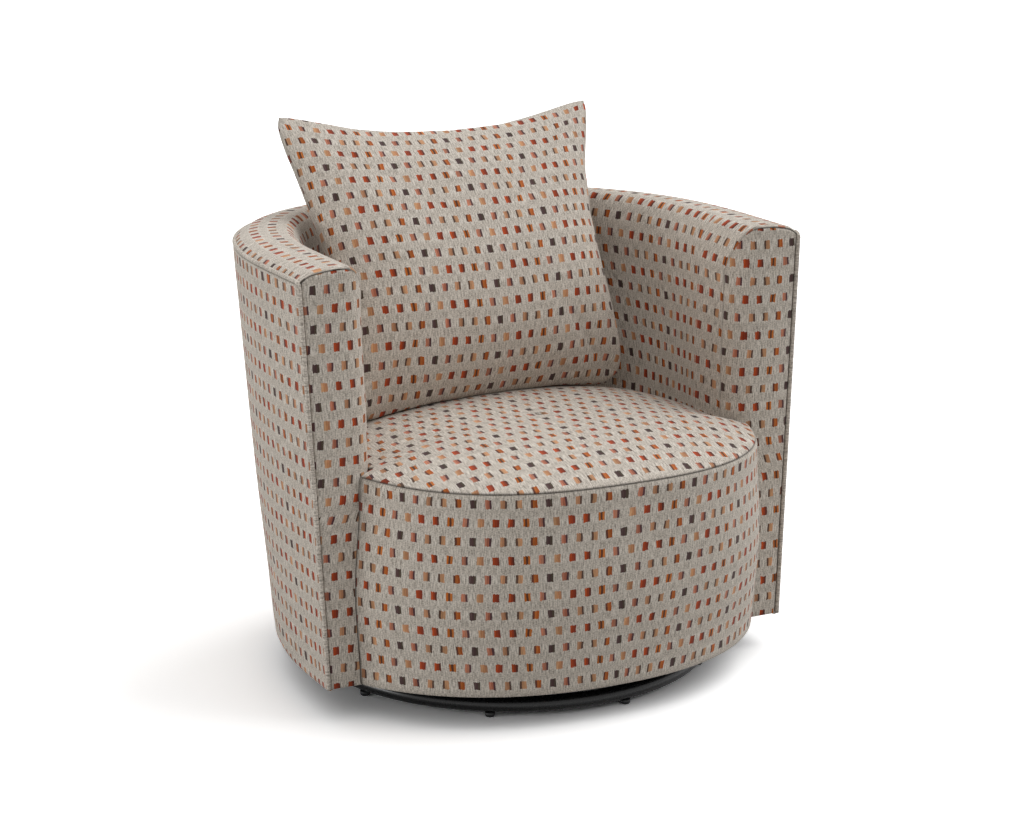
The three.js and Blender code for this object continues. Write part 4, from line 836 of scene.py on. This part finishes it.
def addSeatBorder():
    fine = np.linspace(-1, 1, 2001)
    path = drumPoint(fine, 0.22, 0)
    lengths = runAlong(path)
    step = border["closeLength"] / border["closeColumns"]
    close = np.arange(border["closeColumns"]) * step
    between = np.linspace(close[-1] + step, lengths[-1] - close[-1] - step, border["columns"])
    places = np.concatenate([close, between, lengths[-1] - close[::-1]])
    shares = np.interp(places, lengths, fine)
    plain = [(height, 0) for height in np.linspace(0.0625, 0.381, border["rows"])]
    rows = border["hemRows"] + plain + border["topRows"]
    grid = np.array([drumPoint(shares, height, inset) for height, inset in rows])
    height = grid[..., 2]
    fade = smooth((height - 0.06) / 0.06) * smooth((0.385 - height) / 0.05)
    outward = unit(grid[..., :2])
    swell = unevenness(grid[..., 0] * 1.4, grid[..., 1] + 0.7, height * 0.8, border["swell"]) * fade
    grid[..., :2] += swell[..., None] * outward
    along = places - lengths[-1] / 2
    middle = len(shares) // 2
    up = lengthAlong(grid[:, middle:middle + 1], 0)[:, 0]
    weave = gridWeave(along, up, border["weaveShift"])
    # painted shade in the gap beside the facings, and in the seam with the seat top along the turned-in upper edge
    past = np.clip(facingFace(height) - 0.001 - grid[..., 1], 0, None)
    paintedShade = mix(*border["divePaintedShade"], smooth((height - 0.30) / 0.08)) * np.exp(-(past / border["diveShadeWidth"]) ** 4)
    paintedShade[-2:] = seat["seamPaintedShade"]
    paintedShade[-3] = np.maximum(paintedShade[-3], 0.25)
    piece = sheetPiece("seatBorder", grid, weave, paintedShade, fabric, wall["cloth"])
    dress(piece, "chair", "upholstery", "seat_border_cover", "seat_border_foam")


def seatHeight(x, y):
    inFront = y < facingFace(seat["seam"]) - 0.0015
    frontWidth = seat["halfWidth"][1] * archShare(np.clip(-y / seat["front"][1], 0, 1), seat["squareness"][1])
    past = np.clip((y - wall["archStart"][1]) / (wall["innerBack"][0] - wall["archStart"][1]), 0, 1)
    backWidth = (wall["innerHalfWidth"] - 0.0035) * archShare(past, wall["innerSquareness"])
    wide = np.where(inFront, frontWidth, np.where(y < wall["archStart"][1], mix(
        frontWidth, backWidth, smooth((y + 0.2) / 0.06)), backWidth))
    across = np.clip(np.abs(x) / np.maximum(wide, 1e-6), 0, 1)
    along = np.clip(np.abs(2 * (y + seat["front"][1]) / (seat["back"] + seat["front"][1]) - 1), 0, 1)
    return seat["seam"] + seat["crown"] * (1 - across ** seat["crownPower"]) * (1 - along ** seat["crownPower"])


top = {
    "rings": 64, "spokes": 288, "roll": 0.0045, "rollDrop": 0.55, "foot": 0.352, "fill": 0.85, "swell": 0.0018,
    "middle": (0, -0.11), "weaveShift": (0.003, 0.006),
    # how far its outline stands in from the drum, and past the facings on either side; its share of the inner wall
    "inset": 0.0028, "pastFront": 0.004, "pastBack": 0.012, "wallShare": (0.9975, 0.99),
}


def seatOutline(count):  # closed outline, from the back round the left arm, the front and the right arm
    front = drumPoint(np.linspace(-1, 1, 1401), seat["seam"], top["inset"])[:, :2]
    front = front[front[:, 1] < facingFace(seat["seam"]) + top["pastFront"]]
    places = np.linspace(0, 1, 1401)
    back = planPoint(innerPlan(seat["seam"]), places)
    back = back[back[:, 1] > facingFace(seat["seam"]) + top["pastBack"]] * top["wallShare"]
    loop = np.concatenate([back[len(back) // 2:], front[::-1], back[:len(back) // 2]])
    closed = np.concatenate([loop, loop[:1]])
    return evenlyAlong(closed, count, runAlong(closed), endpoint=False)


def addSeatTop():
    outline = seatOutline(top["spokes"])
    middle, shift, roll = np.array(top["middle"]), np.array(top["weaveShift"]), top["roll"]
    fromMiddle = np.linalg.norm(outline - middle, axis=1)
    points, weave, paintedShade = [[*middle, seatHeight(*middle)]], [middle + shift], [0]
    for share in 1 - (1 - np.linspace(0, 1, top["rings"] + 1)[1:]) ** 1.25:
        flat = middle + (outline - middle) * share
        edge = fromMiddle * (1 - share)
        height = seatHeight(flat[:, 0], flat[:, 1])
        height -= roll * (1 - np.sqrt(1 - np.clip(1 - edge / roll, 0, 1) ** 2)) * top["rollDrop"]
        height += unevenness(flat[:, 0] * 0.9, flat[:, 1], 0, top["swell"]) * smooth(edge / 0.06)
        points += [*np.column_stack([flat, height])]
        weave += [*(flat + shift)]
        # painted shade in the seam with the drum, along the outline's last millimetre
        paintedShade += [*np.clip(1.1 - edge / 0.0012, 0, seat["seamPaintedShade"])]
    # the edge turned down into the seam, all in painted shade
    for inset, height in ((0.003, seat["seam"] - 0.004), (0.006, top["foot"])):
        flat = middle + (outline - middle) * (1 - inset / fromMiddle)[:, None]
        points += [[x, y, height] for x, y in flat]
        weave += [*(flat + shift)]
        paintedShade += [seat["seamPaintedShade"]] * len(flat)
    points.append([*middle, top["foot"]])
    weave.append(middle + shift)
    paintedShade.append(0)
    count, rings = top["spokes"], top["rings"] + 2
    last = 1 + (rings - 1) * count
    faces = [(0, 1 + (j + 1) % count, 1 + j) for j in range(count)]
    faces += gridFaces(rings, count, closed=True, flip=True, start=1)
    faces += [(len(points) - 1, last + j, last + (j + 1) % count) for j in range(count)]
    piece = meshPiece("seatTop", points, faces, fabric, weave, paintedShade)
    dress(piece, "chair", "upholstery", "seat_top_cover", "seat_foam")


addSeatBorder()
addSeatTop()
print("stage: seat")

# pillow

cushion = {
    "half": 0.283, "steps": 84, "thickness": 0.012, "frames": 20, "fill": 0.5, "earPower": 12,
    # how far the head dips between its ears, and the left and right sides draw in
    "headDip": 0.053, "dipPower": 2.4, "sideDips": (0.012, 0.040), "footDip": 0.012, "simulatedDraw": 0.12,
    # the foot curls under the pillow's own weight
    "footCurl": 0.11, "curlPower": 6, "cornerCurlShare": 0.4,
    # half the thickness, and how much rounder the filling makes it than air alone, fuller low down than high up
    "fullness": 0.077, "roundness": 0.7, "roundPowers": (0.50, 0.80), "sidePower": 5,
    # lower left, lower right, upper left and upper right corners
    "corners": ((-0.256, -0.024, 0.461), (0.243, 0.016, 0.461), (-0.278, 0.306, 0.880), (0.305, 0.304, 0.873)),
    # the last value is the painted shade along the pillow's seam
    "seatRoom": 0.0015, "wallRoom": 0.003, "weaveShift": (0.005, 0.010), "seamPaintedShade": 0.35,
    "flatShare": 0.15,  # how much of the empty bag's thickness it already has beside its seam
    "cloth": {"quality": 6, "mass": 0.25, "tension_stiffness": 26, "compression_stiffness": 12,
              "shear_stiffness": 8, "bending_stiffness": 0.45, "use_pressure": True,
              "uniform_pressure_force": 5.2},
}
cushion["corner"] = cushion["half"] / 2 ** (1 / cushion["earPower"])


def flatCushion():  # the empty bag: two square sheets of cloth that share their edges
    steps, half, power = cushion["steps"], cushion["half"], cushion["earPower"]
    count, within = steps + 1, steps - 1
    front = np.arange(count ** 2).reshape(count, count)
    back = front.copy()
    back[1:-1, 1:-1] = count ** 2 + np.arange(within ** 2).reshape(within, within)
    spots = np.linspace(-half, half, count)
    b, a = np.meshgrid(spots, spots, indexing="ij")
    ear = np.maximum(np.abs(a), np.abs(b)).clip(1e-9) / (np.abs(a) ** power + np.abs(b) ** power + 1e-99) ** (1 / power)
    x, z = a * ear, b * ear
    room = ((1 - (x / half) ** 2) * (1 - (z / half) ** 2)).clip(0)
    depth = cushion["thickness"] * mix(cushion["flatShare"], 1, room ** 0.5)
    depth[[0, -1]] = depth[:, [0, -1]] = 0
    points = np.concatenate([np.stack([x, -depth, z], axis=-1).reshape(-1, 3),
                             np.stack([x, depth, z], axis=-1)[1:-1, 1:-1].reshape(-1, 3)])
    spread = np.stack([a, b], axis=-1) / half
    spread = np.concatenate([spread.reshape(-1, 2), spread[1:-1, 1:-1].reshape(-1, 2)])
    faces = [[int(sheet.flat[k]) for k in quad] for sheet, flip in ((front, False), (back, True))
             for quad in gridFaces(count, count, flip=flip)]
    return points, faces, spread, (front, back)


def inflate(piece):  # air pressure in a bag of cloth
    cloth = piece.modifiers.new("air", "CLOTH")
    for name, value in cushion["cloth"].items():
        setattr(cloth.settings, name, value)
    cloth.settings.effector_weights.gravity = 0
    cloth.collision_settings.use_collision = False
    cloth.point_cache.frame_start, cloth.point_cache.frame_end = 1, cushion["frames"]
    for k in range(1, cushion["frames"] + 1):
        scene.frame_set(k)
        bpy.context.view_layer.update()
    ready = piece.evaluated_get(bpy.context.evaluated_depsgraph_get())
    points = np.empty(len(piece.data.vertices) * 3, dtype=np.float32)
    ready.data.vertices.foreach_get("co", points)
    piece.modifiers.remove(cloth)
    scene.frame_set(1)
    return points.reshape(-1, 3).astype(float)


def drawnIn(flat, spread):  # where the filled cloth lies in the pillow's own plane
    a, b = spread[:, 0], spread[:, 1]
    dips = np.where(a < 0, *cushion["sideDips"])
    x = flat[:, 0] - np.sign(a) * dips * (1 - b ** 2) * np.abs(a) ** 1.5
    between = 1 - np.abs(a) ** cushion["dipPower"]
    z = flat[:, 2] - between * mix(-cushion["footDip"], cushion["headDip"], smooth((b + 1) / 2))
    return x, z


def roundShare(spread):  # thickness of the filling as a share of the greatest
    a, b = spread[:, 0], spread[:, 1]
    low, high = cushion["roundPowers"]
    lengthwise = (1 + b) ** low * (1 - b) ** high
    fullest = (low - high) / (low + high)
    lengthwise /= (1 + fullest) ** low * (1 - fullest) ** high
    return lengthwise * (1 - np.abs(a) ** cushion["sidePower"]) ** 0.5


def filled(flat, spread, blown):  # the filling limits how far the blown cloth draws in and swells
    x, z = drawnIn(flat, spread)
    air = np.clip(np.abs(blown[:, 1]) / np.percentile(np.abs(blown[:, 1]), 99), 0, 1.05)
    depth = cushion["fullness"] * mix(air, roundShare(spread), cushion["roundness"])
    depth = np.where(flat[:, 1] == 0, 0, depth)
    depth *= np.sign(flat[:, 1])
    pull = (blown - flat) * cushion["simulatedDraw"]
    # the curled foot turns the thickness with it
    low = (1 - spread[:, 1]) / 2
    most = cushion["footCurl"] * mix(1, cushion["cornerCurlShare"], np.abs(spread[:, 0]) ** 5)
    curl = most * low ** cushion["curlPower"]
    slope = -most * cushion["curlPower"] * low ** (cushion["curlPower"] - 1) / 2 / cushion["corner"]
    turned = np.sqrt(1 + slope ** 2)
    return np.stack([x + pull[:, 0], curl + depth / turned, z + pull[:, 2] - slope * depth / turned], axis=1)


def placeCushion(points, behind):
    a, b = points[:, 0] / cushion["corner"], points[:, 2] / cushion["corner"]
    lowLeft, lowRight, highLeft, highRight = (np.array(c) for c in cushion["corners"])
    s, t = (a[:, None] + 1) / 2, (b[:, None] + 1) / 2
    middle = mix(mix(lowLeft, lowRight, s), mix(highLeft, highRight, s), t)
    acrossWay = mix(lowRight - lowLeft, highRight - highLeft, t)
    upWay = mix(highLeft - lowLeft, highRight - lowRight, s)
    backWay = unit(np.cross(upWay, acrossWay))
    backWay *= np.sign(backWay[:, 1:2])
    placed = middle + backWay * points[:, 1:2]
    # it rests on the seat and leans on the curved wall behind it
    floorHere = seatHeight(placed[:, 0], placed[:, 1]) + cushion["seatRoom"] + 0.2 * behind
    placed[:, 2] = np.maximum(placed[:, 2], floorHere)
    plan = innerPlan(np.minimum(placed[:, 2], wall["rollFoot"]))
    across = np.clip(np.abs(placed[:, 0]) / (plan["halfWidth"] - cushion["wallRoom"]), 0, 1)
    wallHere = mix(plan["archStart"], plan["back"], archShare(across, plan["squareness"]))
    below = placed[:, 2] < wall["rim"]
    placed[:, 1] = np.where(below, np.minimum(placed[:, 1], wallHere - cushion["wallRoom"]), placed[:, 1])
    return placed


def clothPlaces(points, sheets):  # how far along and up the cloth each point lies, from the panel's middle
    weave = np.zeros((len(points), 2))
    middle = cushion["steps"] // 2
    for sheet in reversed(sheets):
        along, up = lengthAlong(points[sheet], 1), lengthAlong(points[sheet], 0)
        weave[sheet] = np.stack([along - along[:, middle:middle + 1], up - up[middle:middle + 1]], axis=-1)
    return weave


def addPillow():
    points, faces, spread, sheets = flatCushion()
    piece = meshPiece("pillow", points, faces, fabric, spread)
    blown = inflate(piece)
    shaped = filled(points, spread, blown)
    behind = np.where(points[:, 1] > 0, points[:, 1], 0)
    placed = placeCushion(shaped, behind)
    weave = clothPlaces(placed, sheets) + cushion["weaveShift"]
    setCornerPlaces(piece.data, piece.data.uv_layers["weave"], weave)
    piece.data.vertices.foreach_set("co", placed.astype(np.float32).ravel())
    # painted shade along the seam where the two sheets meet
    rim = points[:, 1] == 0
    paintedShade = piece.data.attributes.new("paintedShade", "FLOAT", "POINT")
    paintedShade.data.foreach_set("value", np.where(rim, cushion["seamPaintedShade"], 0.0).astype(np.float32))
    piece.data.update()
    finer = piece.modifiers.new("finer", "SUBSURF")
    finer.levels = finer.render_levels = 1
    dress(piece, "pillow", "upholstery", "pillow_cover", "pillow_filling")
    addZip(placed)


zipper = {
    "tooth": {"pitch": 0.0028, "length": 0.0036, "thickness": 0.0012}, "tapeThickness": 0.0006, "ends": 0.14,
    "slider": (0.0090, 0.0062, 0.0026), "puller": (0.0200, 0.0034, 0.0010), "pullerBack": 0.009,
    # how far the tape stands off the cloth, and the teeth, the slider and the puller off the tape
    "proud": 0.0016, "lifts": (0.0008, 0.0018, 0.0038), "softEdges": (0.0008, 0.0004),
}


def boxPiece(name, centre, size, along, up, bevel):  # a small pressed piece with softened edges
    half = np.array(size) / 2
    side = np.cross(up, along)
    corners = [centre + along * sx * half[0] + side * sy * half[1] + up * sz * half[2]
               for sx in (-1, 1) for sy in (-1, 1) for sz in (-1, 1)]
    faces = [(0, 1, 3, 2), (4, 6, 7, 5), (0, 4, 5, 1), (2, 3, 7, 6), (0, 2, 6, 4), (1, 5, 7, 3)]
    piece = meshPiece(name, corners, faces, zinc)
    soft = piece.modifiers.new("soft", "BEVEL")
    soft.width, soft.segments = bevel, 2
    return piece


def addZip(placed):  # along the foot on the hidden side, five rows of cloth away from the seam
    steps = cushion["steps"]
    inner = placed[(steps + 1) ** 2:].reshape(steps - 1, steps - 1, 3)
    first, last = int(zipper["ends"] * steps), int((1 - zipper["ends"]) * steps)
    below, path, above = (inner[k, first:last] for k in (3, 4, 5))
    ahead = unit(np.gradient(path, axis=0))
    outward = unit(np.cross(above - below, ahead))
    outward *= np.sign(np.sum(outward * (path - placed.mean(axis=0)), axis=1))[:, None]
    middle = path + outward * zipper["proud"]
    rows = [middle + (row - path) * share for row, share in ((below, 1), (below, 0.5), (path, 0), (above, 0.5),
                                                             (above, 1))]
    tape = meshPiece("zipTape", np.concatenate(rows), gridFaces(5, len(path)), spunbond)
    wallOfTape = tape.modifiers.new("wall", "SOLIDIFY")
    wallOfTape.thickness, wallOfTape.offset = zipper["tapeThickness"], 0
    teethLift, sliderLift, pullerLift = zipper["lifts"]
    teeth = barsAlong("zipTeeth", middle + outward * teethLift, False, zipper["tooth"], True, nylon)
    spot, along, up = middle[-4], ahead[-4], outward[-4]  # closed, with the slider near the zip's end
    sliderEdge, pullerEdge = zipper["softEdges"]
    slider = boxPiece("zipSlider", spot + up * sliderLift, zipper["slider"], along, up, sliderEdge)
    pullerSpot = spot + up * pullerLift - along * zipper["pullerBack"]
    puller = boxPiece("zipPuller", pullerSpot, zipper["puller"], along, up, pullerEdge)
    dress(tape, "pillow", "black_cloth")
    dress(teeth, "pillow", "nylon", "pillow_zip")
    dress(slider, "pillow", "steel")
    dress(puller, "pillow", "steel")


addPillow()
print("stage: pillow")

# base

low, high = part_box("floor_ring")
floorRing = {"ringRadius": 0.325, "tubeRadius": 0.0125, "height": (low.z + high.z) / 2, "ringFacets": 144,
             "tubeFacets": 20}


def addFloorRing():
    tree, given = startTree("bentTube", floorRing)
    path = addNode(tree, "GeometryNodeCurvePrimitiveCircle", {"Resolution": given.outputs["ringFacets"],
                                                              "Radius": given.outputs["ringRadius"]})
    section = addNode(tree, "GeometryNodeCurvePrimitiveCircle", {"Resolution": given.outputs["tubeFacets"],
                                                                 "Radius": given.outputs["tubeRadius"]})
    tube = addNode(tree, "GeometryNodeCurveToMesh", {"Curve": path, "Profile Curve": section})
    lift = addNode(tree, "ShaderNodeCombineXYZ", {2: given.outputs["height"]})
    lifted = addNode(tree, "GeometryNodeTransform", {"Geometry": tube, "Translation": lift})
    piece = grown("floorRing", tree, lifted, enamel, floorRing)
    dress(piece, "base", "black_metal", "floor_ring")


# a rounded foot: a dome cut off flat, on a short neck; the share of the radius that stands on the floor, and of
# the height that is dome and neck
glides = {"ringRadius": floorRing["ringRadius"], "glideRadius": 0.008, "glideHeight": 0.0077, "glideCount": 9,
          "phase": math.radians(-82), "footShare": 0.8, "domeShare": 0.3, "neckShare": 0.7, "facets": 24}


def addGlides():
    tree, given = startTree("glidesRound", glides)
    spots = addNode(tree, "GeometryNodeMeshCircle", {"Vertices": given.outputs["glideCount"],
                                                     "Radius": given.outputs["ringRadius"]})
    turn = addNode(tree, "ShaderNodeCombineXYZ", {2: given.outputs["phase"]})
    turned = addNode(tree, "GeometryNodeTransform", {"Geometry": spots, "Rotation": turn})
    foot, rise, neck = (addNode(tree, "ShaderNodeMath", [given.outputs[size], given.outputs[share]],
                                operation="MULTIPLY") for size, share in (
        ("glideRadius", "footShare"), ("glideHeight", "domeShare"), ("glideHeight", "neckShare")))
    chamfer = addNode(tree, "GeometryNodeMeshCone", {
        "Vertices": given.outputs["facets"], "Radius Top": given.outputs["glideRadius"], "Radius Bottom": foot,
        "Depth": rise})
    body = addNode(tree, "GeometryNodeMeshCylinder", {
        "Vertices": given.outputs["facets"], "Radius": given.outputs["glideRadius"], "Depth": neck})
    half = addNode(tree, "ShaderNodeMath", [neck, 0.5, rise], operation="MULTIPLY_ADD")
    up = addNode(tree, "ShaderNodeCombineXYZ", {2: half})
    bodyUp = addNode(tree, "GeometryNodeTransform", {"Geometry": body, "Translation": up})
    both = addNode(tree, "GeometryNodeJoinGeometry", [chamfer])
    tree.links.new(bodyUp.outputs[0], both.inputs[0])
    each = addNode(tree, "GeometryNodeInstanceOnPoints", {"Points": turned, "Instance": both})
    piece = grown("floorGlides", tree, each, nylon, glides)
    for polygon in piece.data.polygons:
        polygon.use_smooth = abs(polygon.normal.z) < 0.5
    dress(piece, "base", "nylon", *["glide_%d" % k for k in range(1, glides["glideCount"] + 1)])


staple = {"pitch": 0.042, "length": 0.0100, "thickness": 0.0007}
stapleLine = {"fromCover": 0.020, "fromArms": 0.03, "fromDrum": 0.012, "below": 0.0002}


def addStaples():  # round the dust cover's edge, the crowns flush with the cloth
    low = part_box("dust_cover")[0]
    places, _ = evenPlaces(160)
    back = outerPoint(places, wall["hem"], stapleLine["fromCover"])
    back = back[back[:, 1] > facingFace(wall["hem"]) + stapleLine["fromArms"]]
    front = drumPoint(np.linspace(-0.97, 0.97, 120), wall["hem"], stapleLine["fromDrum"])
    front = front[front[:, 1] < facingFace(wall["hem"])]
    path = np.concatenate([back, front[::-1]])
    path[:, 2] = low.z - stapleLine["below"]
    piece = barsAlong("dustCoverStaples", path, True, staple, False, zinc)
    dress(piece, "chair", "steel")


addFloorRing()
addGlides()
addStaples()
print("stage: base")
